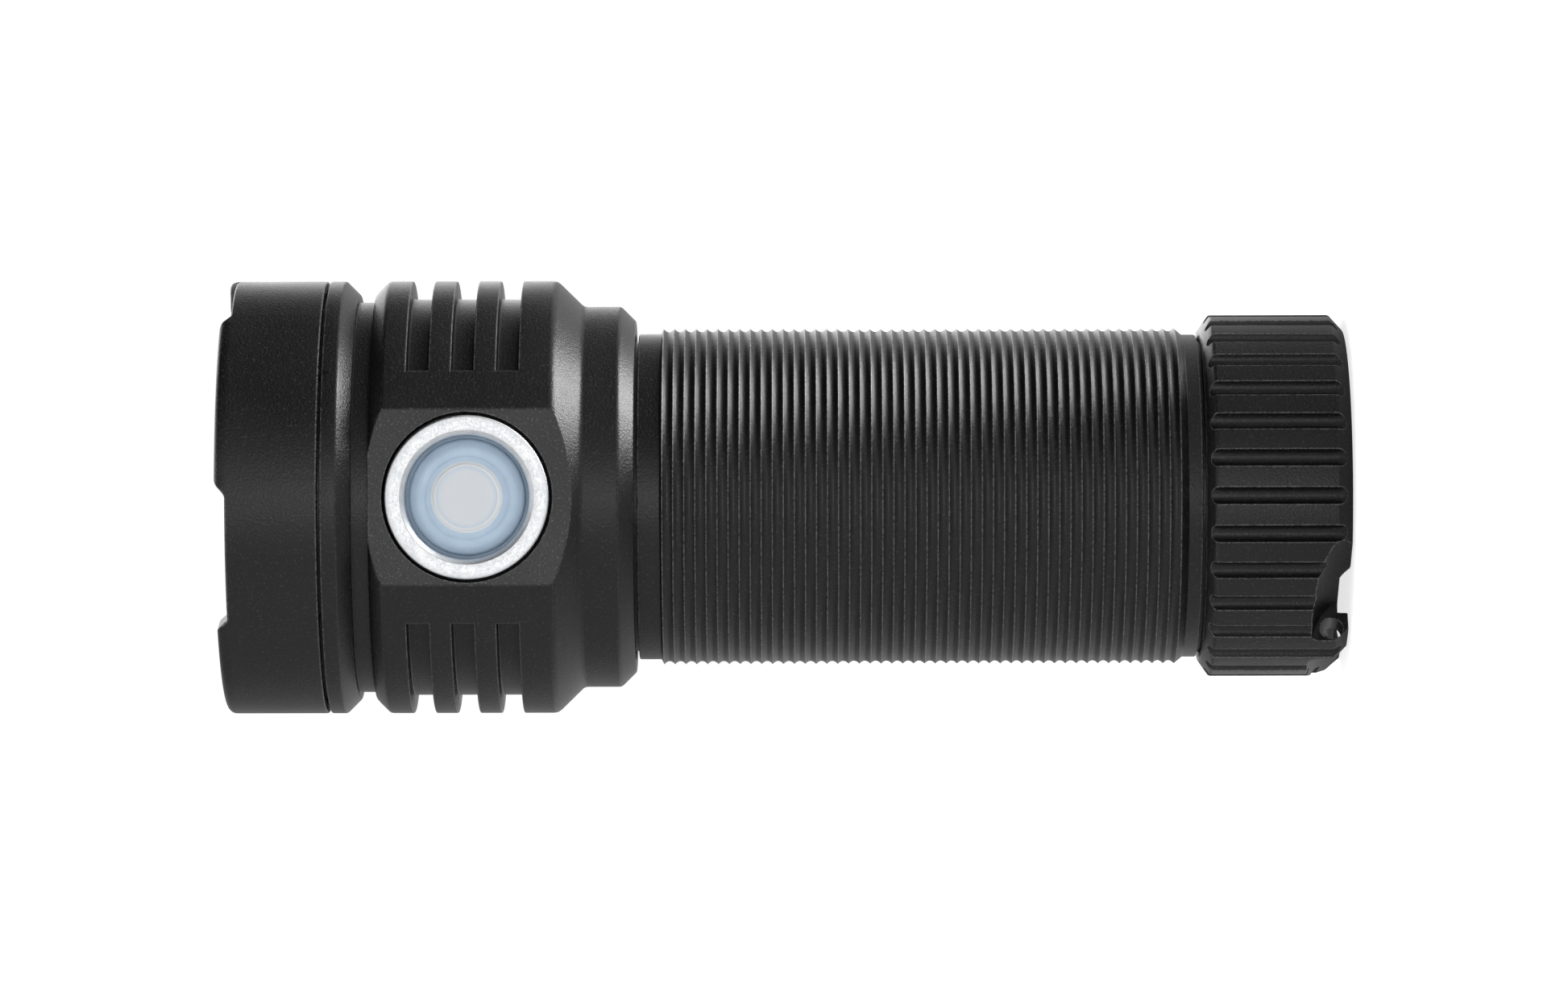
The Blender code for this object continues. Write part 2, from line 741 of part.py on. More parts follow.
def make_board_screw(name, spot):
    """A low cheese-head screw with a hexagon socket."""
    head_top = led_bottom + insulator_thickness
    outline = [
        (0, head_top),
        (screw_head_radius - edge, head_top),
        (screw_head_radius, head_top - edge),
        (screw_head_radius, led_bottom),
        (screw_radius, led_bottom),
        (screw_radius, led_bottom - screw_length),
        (0, led_bottom - screw_length),
    ]
    screw = turned(name, [outline], SMALL_SIDES)
    socket_run = (hex_socket_radius, (0, 0, head_top - hex_socket_depth), (0, 0, head_top + through))
    socket = rods(name + "_socket", [socket_run], 6, cutter=True)
    boolean(screw, socket)
    screw.location = spot
    socket.location = spot
    finish(screw, STEEL)


def make_reflector(cup_centres):
    reflector = turned("reflector", [disc_outline(reflector_radius, reflector_bottom, reflector_top)])
    rings = 4
    for index, spot in enumerate(cup_centres):
        outline = [(0, reflector_top + gap), (cup_radius, reflector_top + gap)]
        for ring in range(rings + 1):
            depth = 1 - ring / rings
            radius = math.sqrt(cup_throat_radius**2 + (cup_radius**2 - cup_throat_radius**2) * depth)
            outline.append((radius, reflector_bottom + reflector_depth * depth))
        outline.append((cup_throat_radius, reflector_bottom - gap))
        outline.append((0, reflector_bottom - gap))
        cup = turned(f"cup_cutter_{index + 1}", [outline], 20, cutter=True)
        cup.location = spot
        boolean(reflector, cup)
    room_start = (0, 0, reflector_bottom - through)
    room_end = (0, 0, reflector_bottom + wire_room_height)
    boolean(reflector, rods("wire_room_cutter", [(wire_room_radius, room_start, room_end)], cutter=True))
    finish(reflector, MIRROR_ALUMINIUM)


def make_led_wires():
    """Two leads from the driver, up through the middle of the shelf and out to the LED board's pads."""
    lead_top = led_board_top + gap + led_wire_radius
    for name, side, look in (("led_wire_red", 1, RED_SILICONE), ("led_wire_black", -1, BLACK_RUBBER)):
        knots = [
            (side * 1.2 * mm, -2.6 * mm, driver_board_top + gap),
            (side * 1.2 * mm, -2.4 * mm, driver_board_top + 3 * mm),
            (side * 1.0 * mm, 0, shelf_bottom - 2 * mm),
            (side * 1.0 * mm, 0, led_board_bottom),
            (side * 1.1 * mm, 0, lead_top - 0.25 * mm),
            (side * 1.9 * mm, 0, lead_top + 0.35 * mm),
            (side * 3.6 * mm, 0, lead_top),
        ]
        finish(wire(name, smooth_route(knots, 4), led_wire_radius), look)


def make_driver():
    board = turned("driver_board", [disc_outline(driver_bore - gap, driver_board_bottom, driver_board_top)])
    finish(board, BOARD_GREEN)

    for name, (length, width, height), (x, y) in driver_parts:
        size = Vector((length, width, height)) * mm
        middle = Vector((x * chamber_radius, y * chamber_radius, driver_board_top + gap + size.z / 2))
        part = boxes(name, [(size, middle)])
        soften(part, part_bevel)
        finish(part, CAPACITOR_TAN if "capacitor" in name else BLACK_RESIN)

    contact_top = driver_board_bottom - gap
    contact_outline = [
        (0, contact_top),
        (contact_radius + contact_flange_width, contact_top),
        (contact_radius + contact_flange_width, contact_top - contact_flange),
        (contact_radius, contact_top - contact_flange),
        (contact_radius, contact_bottom + contact_chamfer),
        (contact_radius - contact_chamfer, contact_bottom),
        (0, contact_bottom),
    ]
    finish(turned("positive_contact", [contact_outline], SMALL_SIDES), BRASS)

    ring_outer = driver_bore - gap
    ring_inner = ring_outer - driver_ring_width
    ring_face = contact_top - driver_ring_thickness
    ring = turned("driver_retaining_ring", [ring_outline(ring_inner, ring_outer, ring_face, contact_top)])
    boolean(ring, spanner_cutter("driver_ring_spanner_cutter", ring_outer, ring_face))
    finish(ring, STEEL)

    for index, side in enumerate((-1, 1)):
        knots = [
            (side * 0.6 * mm, -pocket_floor, switch_height + pocket_hole_rise),
            (side * 0.6 * mm, -chamber_radius + 0.8 * mm, switch_height + pocket_hole_rise),
            (side * 0.9 * mm, -chamber_radius + 2.6 * mm, switch_height + 0.8 * mm),
            (side * 1.2 * mm, -chamber_radius + 3.2 * mm, (switch_height + driver_board_top) / 2),
            (side * 1.2 * mm, -chamber_radius + 3.2 * mm, driver_board_top + gap),
        ]
        lead = wire(f"switch_wire_{index + 1}", smooth_route(knots, 4), switch_wire_radius)
        finish(lead, RED_SILICONE if side > 0 else BLACK_RUBBER)


def spanner_cutter(name, radius, height):
    """A slot across a ring's face, for a pin spanner."""
    size = (spanner_slot_width, 3 * radius, 2 * spanner_slot_depth)
    return boxes(name, [(size, (0, 0, height))], cutter=True)


def make_tube():
    outline = [
        (tube_bore, tube_front),
        (spigot_radius, tube_front),
        (spigot_radius, tube_shoulder_front + o_ring_setback + o_ring_groove_length),
        (o_ring_groove_radius, tube_shoulder_front + o_ring_setback + o_ring_groove_length),
        (o_ring_groove_radius, tube_shoulder_front + o_ring_setback),
        (spigot_radius, tube_shoulder_front + o_ring_setback),
        (spigot_radius, tube_shoulder_front),
        (neck_radius, tube_shoulder_front),
        (neck_radius, tube_shoulder_front - neck_length + crest_height / 2),
        (crest_radius, tube_shoulder_front - neck_length),
        (crest_radius, tube_shoulder_rear + band_length),
        (band_radius, tube_shoulder_rear + band_length - crest_height / 2),
        (band_radius, tube_shoulder_rear),
        (spigot_radius, tube_shoulder_rear),
        (spigot_radius, tube_shoulder_rear - o_ring_setback),
        (o_ring_groove_radius, tube_shoulder_rear - o_ring_setback),
        (o_ring_groove_radius, tube_shoulder_rear - o_ring_setback - o_ring_groove_length),
        (spigot_radius, tube_shoulder_rear - o_ring_setback - o_ring_groove_length),
        (spigot_radius, tube_rear),
        (tube_bore, tube_rear),
    ]
    finish(turned("battery_tube", [outline]), BLACK_ANODISED)
    groove_middle = o_ring_setback + o_ring_groove_length / 2
    o_ring("front_o_ring", o_ring_radius, tube_shoulder_front + groove_middle, o_ring_cord)
    o_ring("rear_o_ring", o_ring_radius, tube_shoulder_rear - groove_middle, o_ring_cord)


def make_cell():
    can_radius = cell_radius - wrapper_wall - gap
    inner = can_radius - can_wall
    rim_top = cell_top - terminal_rise
    crimp_bottom = rim_top - crimp_depth
    core_top = crimp_bottom - core_headroom
    can_outline = [
        (0, cell_bottom + can_wall),
        (inner, cell_bottom + can_wall),
        (inner, crimp_bottom - 2 * bead),
        (inner - bead, crimp_bottom - bead),
        (inner, crimp_bottom),
        (inner, rim_top),
        (can_radius, rim_top),
        (can_radius, crimp_bottom),
        (can_radius - bead, crimp_bottom - bead),
        (can_radius, crimp_bottom - 2 * bead),
        (can_radius, cell_bottom),
        (0, cell_bottom),
    ]
    finish(turned("cell_can", [can_outline]), STEEL)
    core_outline = disc_outline(inner - gap, cell_bottom + can_wall + gap, core_top)
    finish(turned("cell_core", [core_outline]), DARK_FOIL)
    sleeve_outline = ring_outline(cell_radius - wrapper_wall, cell_radius, cell_bottom + edge, rim_top + edge)
    finish(turned("cell_wrapper", [sleeve_outline]), BLUE_SLEEVE)
    seat = rim_top - crimp_depth / 2
    insulator_outline = ring_outline(terminal_radius + gap, inner - gap, seat, rim_top)
    finish(turned("cell_insulator", [insulator_outline]), WHITE_PLASTIC)
    terminal_outline = disc_outline(terminal_radius, seat, cell_top)
    finish(turned("cell_positive_cap", [terminal_outline]), STEEL)


def make_tail_cap():
    recess_radius = cap_radius - cap_rear_chamfer_depth - tail_rim_width
    seat_radius = socket_radius - cap_seat_step
    outline = [
        (0, cap_floor_top),
        (seat_radius, cap_floor_top),
        (seat_radius, cap_seat_top),
        (socket_radius, cap_seat_top),
        (socket_radius, cap_length),
        (cap_radius - cap_front_chamfer_depth, cap_length),
        (cap_radius, cap_length - cap_front_chamfer),
        (cap_radius, cap_rear_chamfer),
        (cap_radius - cap_rear_chamfer_depth, 0),
        (recess_radius, 0),
        (recess_radius, tail_recess_depth),
        (0, tail_recess_depth),
    ]
    cap = turned("tail_cap", [outline], 2 * flute_count)
    boolean(cap, flutes_cutter())
    boolean(cap, scoops_cutter())
    hole_centre = outward(lug_angle) * (cap_radius - lanyard_hole_inset) + Vector((0, 0, lanyard_hole_height))
    reach = sideways(lug_angle) * scoop_radius
    hole = (lanyard_hole_radius, hole_centre - reach, hole_centre + reach)
    boolean(cap, rods("lanyard_hole_cutter", [hole], cutter=True))
    finish(cap, BLACK_ANODISED)

    board_outline = disc_outline(seat_radius - gap, cap_floor_top + gap, tail_board_top)
    finish(turned("tail_board", [board_outline]), BRASS)
    ring_outer = socket_radius - gap
    ring_body = ring_outline(ring_outer - tail_ring_width, ring_outer, tail_ring_base, tail_ring_face)
    ring = turned("tail_retaining_ring", [ring_body])
    boolean(ring, spanner_cutter("tail_ring_spanner_cutter", ring_outer, tail_ring_face))
    finish(ring, STEEL)
    make_tail_spring()


def flutes_cutter():
    """Half-round flutes along the cap, the first of them facing -Y."""
    runs = []
    for index in range(flute_count):
        centre = outward(360 / flute_count * index) * cap_radius
        start = centre - Vector((0, 0, through))
        end = centre + Vector((0, 0, cap_length + through))
        runs.append((flute_radius, start, end))
    return rods("flutes_cutter", runs, 8, cutter=True)


def scoops_cutter():
    """A round scoop on each side of the lanyard lug, cut by a bar that ends at the lug's side."""
    runs = []
    for side in (-1, 1):
        angle = lug_angle + side * lug_half_angle
        centre = outward(angle) * (cap_radius + scoop_outset) - Vector((0, 0, scoop_drop))
        runs.append((scoop_radius, centre, centre + sideways(angle) * side * cap_radius))
    return rods("scoops_cutter", runs, SWITCH_SIDES, cutter=True)


def make_tail_spring():
    """A conical coil, with its wide end on the tail board."""
    steps_per_turn = 10
    count = int(spring_turns * steps_per_turn)
    bottom = spring_bottom + spring_wire / 2
    rise = spring_length - spring_wire
    route = []
    for step in range(count + 1):
        share = step / count
        turn = FULL_TURN * spring_turns * share
        radius = spring_base_radius + (spring_tip_radius - spring_base_radius) * share
        route.append(Vector((radius * math.cos(turn), radius * math.sin(turn), bottom + rise * share)))
    finish(wire("tail_spring", route, spring_wire / 2), STEEL)


def make_on(axis, makers):
    """Runs the makers and hangs what they make on a joint's empty."""
    for make in makers:
        before = set(pieces.objects)
        make()
        for piece in set(pieces.objects) - before:
            if piece.parent is None:
                piece.parent = axis


clear_scene()
pieces = new_collection("tactical_flashlight")
cutters = new_collection("cutters")
make_tail_cap()
unscrew_slide = axis_empty("unscrew_slide", (0, 0, 0))
make_on(unscrew_slide, [make_cell])
unscrew_turn = axis_empty("unscrew_turn", (0, 0, 0))
unscrew_turn.parent = unscrew_slide
make_on(unscrew_turn, [make_tube, make_driver, make_head, make_light_engine, make_bezel, make_switch])
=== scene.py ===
# %% [markdown]
# # Dressing a tactical flashlight
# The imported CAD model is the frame: it says where every piece is and which body it moves with.
# Each cell below makes one visible piece, or one finish, in that same frame: metres, +Z along the
# beam, the switch facing -Y. Sizes that the frame can tell are read from it, and the rest are
# named in millimetres.

# %% Load the frame
import json
import math
from functools import partial

import bmesh
import bpy
from mathutils import Matrix, Vector


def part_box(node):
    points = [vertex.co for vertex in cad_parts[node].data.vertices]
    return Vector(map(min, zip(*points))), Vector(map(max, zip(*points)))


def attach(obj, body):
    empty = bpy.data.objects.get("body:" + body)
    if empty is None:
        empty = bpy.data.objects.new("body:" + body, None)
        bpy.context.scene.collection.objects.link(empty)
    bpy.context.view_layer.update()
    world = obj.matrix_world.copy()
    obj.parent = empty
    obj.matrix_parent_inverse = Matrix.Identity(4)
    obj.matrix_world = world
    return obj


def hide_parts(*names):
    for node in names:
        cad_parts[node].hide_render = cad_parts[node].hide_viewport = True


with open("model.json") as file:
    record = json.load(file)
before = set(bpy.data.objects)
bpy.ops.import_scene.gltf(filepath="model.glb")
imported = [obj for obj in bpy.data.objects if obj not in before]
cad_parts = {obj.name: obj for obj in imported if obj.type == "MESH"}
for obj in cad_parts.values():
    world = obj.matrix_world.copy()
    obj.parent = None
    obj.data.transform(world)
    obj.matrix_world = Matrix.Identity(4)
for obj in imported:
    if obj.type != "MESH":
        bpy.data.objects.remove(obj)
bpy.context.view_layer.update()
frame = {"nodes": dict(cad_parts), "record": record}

mm = 0.001
TURN = 2 * math.pi

# %% [markdown]
# ## Node helper
# Shader trees and geometry trees are wired in the same way: make a node, set its options, then
# fill or link its inputs. One short helper does all three, so every tree below reads as a list of
# steps.


# %% A node with its inputs filled in
def step(tree, kind, inputs=None, **options):
    node = tree.nodes.new(kind)
    for option, value in options.items():
        setattr(node, option, value)
    for name, value in (inputs or {}).items():
        socket = node.inputs[name]
        if isinstance(value, bpy.types.NodeSocket):
            tree.links.new(value, socket)
        else:
            socket.default_value = value
    return node


def maths(tree, operation, *values):
    """One Math node. Values are numbers or sockets."""
    return step(tree, "ShaderNodeMath", dict(enumerate(values)), operation=operation).outputs[0]


print("node helpers ready")


# %% [markdown]
# ## Finishes
# A real surface is never one flat colour: it has a grain, a slow drift in tone, and a roughness
# that follows both. Every finish reads Object coordinates, so its pattern stays put on the piece
# at its true scale, and sets whatever is the same all over straight on the shader.


# %% The parts of a finish
def new_finish(name, **uniform):
    """A material, its tree, its shader and its coordinates. Keywords are the shader's sockets."""
    material = bpy.data.materials.new(name)
    material.use_nodes = True
    tree = material.node_tree
    shader = tree.nodes["Principled BSDF"]
    for socket, value in uniform.items():
        shader.inputs[socket.replace("_", " ")].default_value = value
    coordinates = step(tree, "ShaderNodeTexCoord").outputs["Object"]
    return material, tree, shader, coordinates


def noise(tree, coordinates, per_metre, detail=2.0, stretch=None):
    """Noise from 0 to 1. A stretch squeezes it along an axis, as winding and turning do."""
    if stretch:
        squeeze = {"Vector": coordinates, "Scale": stretch}
        coordinates = step(tree, "ShaderNodeMapping", squeeze).outputs[0]
    inputs = {"Vector": coordinates, "Scale": per_metre, "Detail": detail}
    return step(tree, "ShaderNodeTexNoise", inputs).outputs["Fac"]


def between(tree, value, low, high, start=0.3, end=0.7):
    """Maps start..end onto low..high, and holds it there."""
    inputs = {"Value": value, "From Min": start, "From Max": end, "To Min": low, "To Max": high}
    return step(tree, "ShaderNodeMapRange", inputs).outputs["Result"]


def blend(tree, share, first, second):
    node = step(tree, "ShaderNodeMix", {"Factor": share}, data_type="RGBA")
    for socket, colour in ((node.inputs[6], first), (node.inputs[7], second)):
        if isinstance(colour, bpy.types.NodeSocket):
            tree.links.new(colour, socket)
        else:
            socket.default_value = (*colour, 1)
    return node.outputs[2]


def bump(tree, height, depth, under=None):
    """Raises the surface by up to this depth, in metres, on top of another bump."""
    inputs = {"Height": height, "Distance": depth, "Strength": 1.0}
    if under:
        inputs["Normal"] = under
    return step(tree, "ShaderNodeBump", inputs).outputs["Normal"]


def dress(tree, shader, colour, roughness, normal):
    """Links the three things that vary over every finish."""
    for name, socket in (("Base Color", colour), ("Roughness", roughness), ("Normal", normal)):
        tree.links.new(socket, shader.inputs[name])


print("finish helpers ready")

# %% [markdown]
# ## Hard-anodised black aluminium
# The bezel, head, tube and cap are bead-blasted and then anodised. Blasting leaves pits about a
# quarter of a millimetre apart, which break every highlight into specks, and the dyed oxide is
# dark, dielectric and satin. The switch's facet is painted a lighter grey than the turned faces,
# so its specks show more: a painted sheen in place of the front light that the flat facet
# reflects. Sharp edges are the first to be worn bare, and outer edges are painted pale, partly
# for that and partly as a painted highlight for the glint along them. The Bevel node tells how
# fast the surface turns nearby, whatever the size of the mesh's faces, and Pointiness tells an
# outer edge from an inner corner. A speckle breaks the pale edges up.

# %% Where the facet is
facet = -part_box("switch_ring")[0].y / mm - 0.6
fins_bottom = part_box("head_body")[0].z / mm + 7.7
groove_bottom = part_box("bezel_ring")[0].z / mm - 4.8
facet_bottom, facet_top = fins_bottom - 2.9, groove_bottom + 0.3
print("facet at", round(facet, 2), "from", round(facet_bottom, 2), "to", round(facet_top, 2), "mm")


# %% Black anodised finish
def on_facet_plane(tree, coordinates):
    """1 on the switch's facet, 0 elsewhere."""
    parts = step(tree, "ShaderNodeSeparateXYZ", {0: coordinates}).outputs
    deep = maths(tree, "COMPARE", parts["Y"], -facet * mm, 0.05 * mm)
    middle, half = (facet_bottom + facet_top) / 2 * mm, (facet_top - facet_bottom) / 2 * mm
    high = maths(tree, "COMPARE", parts["Z"], middle, half)
    return maths(tree, "MULTIPLY", deep, high)


def outer_edges(tree, reach):
    """1 on outer edges, fading to 0 within this reach in metres."""
    around = step(tree, "ShaderNodeBevel", {"Radius": reach}, samples=4).outputs[0]
    here = step(tree, "ShaderNodeNewGeometry").outputs
    normals = {0: around, 1: here["True Normal"]}
    agreement = step(tree, "ShaderNodeVectorMath", normals, operation="DOT_PRODUCT")
    turning = between(tree, agreement.outputs["Value"], 1.0, 0.0, 0.88, 0.985)
    outside = between(tree, here["Pointiness"], 0.0, 1.0, 0.50, 0.52)
    return maths(tree, "MULTIPLY", turning, outside)


def black_anodised(name):
    # The second colour, for the facet, is a painted sheen: lighter than the turned faces, standing
    # in for the front light that the facet reflects.
    colour, facet_sheen_colour = (0.0034, 0.0033, 0.0034), (0.019, 0.019, 0.020)
    # The pale edge colour and its strength are partly metal worn bare and partly a painted
    # highlight, standing in for the glint that edges catch.
    worn_and_glint_colour, edge_wear_and_glint = (0.34, 0.34, 0.35), 0.8
    material, tree, shader, coordinates = new_finish(name, IOR=1.45)
    pits = noise(tree, coordinates, 4200, 2.0)
    dust = noise(tree, coordinates, 11000, 1.0)
    drift = noise(tree, coordinates, 90, 3.0)
    milled = on_facet_plane(tree, coordinates)
    oxide = blend(tree, between(tree, drift, 0.0, 1.0), colour, [1.9 * c for c in colour])
    specks = between(tree, pits, 0.0, 1.0, 0.58, 0.72)
    turned_faces = blend(tree, specks, oxide, [8.0 * c for c in colour])
    # On the facet the lighter tone is painted sheen, not a different finish; the specks on it are
    # real grain.
    facet_painted_sheen = blend(tree, specks, facet_sheen_colour, [5.0 * c for c in facet_sheen_colour])
    speckled = blend(tree, milled, turned_faces, facet_painted_sheen)
    broken_up = between(tree, pits, 0.25 * edge_wear_and_glint, edge_wear_and_glint, 0.40, 0.56)
    # Pale outer edges: partly worn bare, partly painted highlight.
    edge = maths(tree, "MULTIPLY", outer_edges(tree, 0.21 * mm), broken_up)
    tone = blend(tree, edge, speckled, worn_and_glint_colour)
    coarse = bump(tree, pits, 0.035 * mm)
    dress(tree, shader, tone, between(tree, drift, 0.33, 0.39),
          bump(tree, dust, 0.008 * mm, coarse))
    return material


ANODISED = black_anodised("black anodised")
print(ANODISED.name, "made with", len(ANODISED.node_tree.nodes), "nodes")

# %% [markdown]
# ## Turned aluminium
# The ring round the switch is bare metal straight from the lathe. A lathe tool leaves fine rings
# about the piece's own axis, so the bump follows the distance from the switch's axis.

# %% Bare aluminium finish
switch_low, switch_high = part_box("switch_ring")
switch_height = (switch_low.z + switch_high.z) / 2


def from_switch_axis(tree, coordinates):
    """The distance from the switch's own axis, in metres."""
    centre = {"Vector": coordinates, "Location": (0, 0, -switch_height), "Scale": (1, 0, 1)}
    flat = step(tree, "ShaderNodeMapping", centre).outputs[0]
    return step(tree, "ShaderNodeVectorMath", {0: flat}, operation="LENGTH").outputs["Value"]


def turned_aluminium(name):
    material, tree, shader, coordinates = new_finish(name, Metallic=1.0)
    distance = from_switch_axis(tree, coordinates)
    rings = noise(tree, step(tree, "ShaderNodeCombineXYZ", {"X": distance}).outputs[0], 16000, 1.0)
    smears = noise(tree, coordinates, 700, 3.0)
    scratches = noise(tree, coordinates, 5200, 2.0)
    tone = blend(tree, between(tree, smears, 0, 1), (0.82, 0.83, 0.84), (0.70, 0.72, 0.74))
    dress(tree, shader, tone, between(tree, scratches, 0.36, 0.50),
          bump(tree, rings, 0.010 * mm, bump(tree, scratches, 0.004 * mm)))
    return material


print("switch axis at z =", round(switch_height / mm, 3), "mm")

# %% [markdown]
# ## Grained finishes
# Most of the other finishes differ only in their numbers: two tones that drift into each other, a
# roughness that follows the grain, and the size and depth of that grain. A table of those numbers
# makes them all.


# %% One maker for the grained finishes
def grained(name, tones, roughness, grain, depth, stretch=None, **uniform):
    """Two tones, lowest and highest roughness, grain per metre and its depth in mm."""
    material, tree, shader, coordinates = new_finish(name, **uniform)
    slow = noise(tree, coordinates, grain / 9, 3.0, stretch)
    fine = noise(tree, coordinates, grain, 2.0, stretch)
    dress(tree, shader, blend(tree, between(tree, slow, 0, 1), *tones),
          between(tree, fine, *roughness), bump(tree, fine, depth * mm))
    return material


def silicone_glow(name, zone, pad, border):
    """Translucent silicone. Its pad is paler than the zone round it, and the pad's border palest."""
    scatter = {"Subsurface_Weight": 0.35, "Subsurface_Radius": (0.3 * mm, 0.3 * mm, 0.3 * mm)}
    material, tree, shader, coordinates = new_finish(name, IOR=1.41, Subsurface_Scale=1.0, **scatter)
    distance = from_switch_axis(tree, coordinates)
    cloud = noise(tree, coordinates, 420, 3.0)
    grain = noise(tree, coordinates, 3000, 2.0)
    clouded = blend(tree, between(tree, cloud, 0.0, 1.0), zone, [0.9 * c for c in zone])
    padded = blend(tree, between(tree, distance, 1.0, 0.0, 2.5 * mm, 3.4 * mm), clouded, pad)
    rim = maths(tree, "MULTIPLY", between(tree, distance, 0.0, 1.0, 2.9 * mm, 3.1 * mm),
                 between(tree, distance, 1.0, 0.0, 3.3 * mm, 3.5 * mm))
    dress(tree, shader, blend(tree, rim, padded, border), between(tree, grain, 0.30, 0.42),
          bump(tree, grain, 0.010 * mm, bump(tree, cloud, 0.03 * mm)))
    return material


FINISHES = {
    "black_anodised": ANODISED,
    "bare_aluminium": turned_aluminium("turned bare aluminium"),
    "mirror_aluminium": grained(
        "mirror aluminium", ((0.93, 0.93, 0.94), (0.86, 0.87, 0.88)), (0.03, 0.08), 900, 0.0015,
        Metallic=1.0
    ),
    "lens_glass": grained(
        "coated glass", ((0.96, 0.99, 0.99), (0.92, 0.97, 0.98)), (0.0, 0.03), 300, 0.0004,
        Transmission_Weight=1.0, IOR=1.46, Coat_Weight=0.25, Coat_Roughness=0.03
    ),
    "black_rubber": grained(
        "black rubber", ((0.012, 0.012, 0.012), (0.022, 0.022, 0.021)), (0.55, 0.72), 2600, 0.02
    ),
    "red_silicone": grained(
        "red silicone", ((0.50, 0.03, 0.02), (0.62, 0.05, 0.03)), (0.42, 0.55), 2200, 0.012
    ),
    "pale_silicone": silicone_glow(
        "pale silicone", (0.62, 0.78, 0.95), (0.84, 0.88, 0.94), (0.95, 0.97, 0.99)
    ),
    "steel": grained(
        "nickel-plated steel", ((0.60, 0.59, 0.57), (0.70, 0.69, 0.67)), (0.20, 0.34), 2400, 0.008,
        Metallic=1.0
    ),
    "brass": grained(
        "bright brass", ((0.76, 0.57, 0.24), (0.84, 0.66, 0.32)), (0.18, 0.32), 2400, 0.006,
        Metallic=1.0
    ),
    "copper_board": grained(
        "white solder mask on copper", ((0.80, 0.80, 0.77), (0.88, 0.87, 0.84)), (0.28, 0.42), 1600,
        0.006
    ),
    "board_green": grained(
        "green solder mask", ((0.015, 0.13, 0.05), (0.03, 0.20, 0.08)), (0.22, 0.40), 1300, 0.02
    ),
    "black_resin": grained(
        "moulded resin", ((0.018, 0.018, 0.019), (0.03, 0.03, 0.03)), (0.42, 0.6), 4200, 0.01
    ),
    "white_plastic": grained(
        "white plastic", ((0.80, 0.80, 0.77), (0.88, 0.88, 0.85)), (0.38, 0.52), 2600, 0.008
    ),
    "led_phosphor": grained(
        "phosphor", ((0.85, 0.62, 0.10), (0.93, 0.76, 0.20)), (0.45, 0.60), 5200, 0.02
    ),
    "capacitor_tan": grained(
        "ceramic", ((0.42, 0.30, 0.19), (0.52, 0.39, 0.26)), (0.34, 0.5), 3800, 0.01
    ),
    "cell_electrodes": grained(
        "wound foil", ((0.16, 0.16, 0.17), (0.30, 0.29, 0.28)), (0.30, 0.5), 3000, 0.02, (1, 1,
        0.02), Metallic=0.7
    ),
    "cell_sleeve": grained(
        "heat-shrink sleeve", ((0.02, 0.09, 0.33), (0.035, 0.13, 0.42)), (0.20, 0.34), 500, 0.02
    ),
}
print(len(FINISHES), "finishes, one for each material slot of the record")

# %% [markdown]
# ## Shapes on a lathe
# Nearly all of the light is turned, so its pieces are outlines swept round an axis. A modifier
# could sweep them, but fins, teeth and flutes change the outline on the way round. So a piece is
# built as a closed grid: a ring of columns, each the whole outline at one angle. Corners are
# rounded first, because a real edge always is.


# %% Rounding an outline's corners
def soften(outline, radius=0.1, steps=2):
    """Rounds each corner of a closed outline in mm. A corner's third number is its own radius."""
    rounded = []
    count = len(outline)
    for index in range(count):
        here = Vector(outline[index][:2])
        before, after = Vector(outline[index - 1][:2]), Vector(outline[(index + 1) % count][:2])
        reach = outline[index][2] if len(outline[index]) > 2 else radius
        reach = min(reach, 0.45 * (before - here).length, 0.45 * (after - here).length)
        if reach < 0.004 or here.x < 1e-6:
            rounded.append(tuple(here))
            continue
        start = here + (before - here).normalized() * reach
        end = here + (after - here).normalized() * reach
        for part in range(steps + 1):
            t = part / steps
            point = start * (1 - t) ** 2 + here * 2 * t * (1 - t) + end * t**2
            rounded.append(tuple(point))
    return rounded


# %% Columns into a closed piece
def from_columns(name, columns):
    """A ring of columns, each a closed loop of points, made into one closed shell."""
    shape = bmesh.new()
    corners = [[shape.verts.new(point) for point in column] for column in columns]
    for index, column in enumerate(corners):
        beside = corners[index - 1]
        for row in range(len(column)):
            shape.faces.new((column[row], column[row - 1], beside[row - 1], beside[row]))
    bmesh.ops.remove_doubles(shape, verts=shape.verts, dist=0.002 * mm)
    bmesh.ops.dissolve_degenerate(shape, edges=shape.edges, dist=0.0005 * mm)
    bmesh.ops.recalc_face_normals(shape, faces=shape.faces)
    return from_shape(name, shape)


def from_shape(name, shape):
    mesh = bpy.data.meshes.new(name)
    shape.to_mesh(mesh)
    shape.free()
    piece = bpy.data.objects.new(name, mesh)
    bpy.context.scene.collection.objects.link(piece)
    return piece


def at(angle, radius, height):
    """A point in metres, from an angle in radians from -Y towards +X and sizes in mm."""
    return Vector((radius * math.sin(angle), -radius * math.cos(angle), height)) * mm


def turned(name, outline, columns=112):
    """A plain turned piece. The outline is closed, in mm, as (radius, height)."""
    angles = [TURN * index / columns for index in range(columns)]
    return from_columns(name, [[at(angle, *point) for point in outline] for angle in angles])


def box_of(node):
    """A node's lowest and highest corners, in mm."""
    return (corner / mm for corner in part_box(node))


print("lathe ready")


# %% [markdown]
# Modifiers are evaluated once and then removed, so what is left is a plain mesh with its place in
# its points. Weighted normals keep the wide faces flat next to their narrow rounded edges.


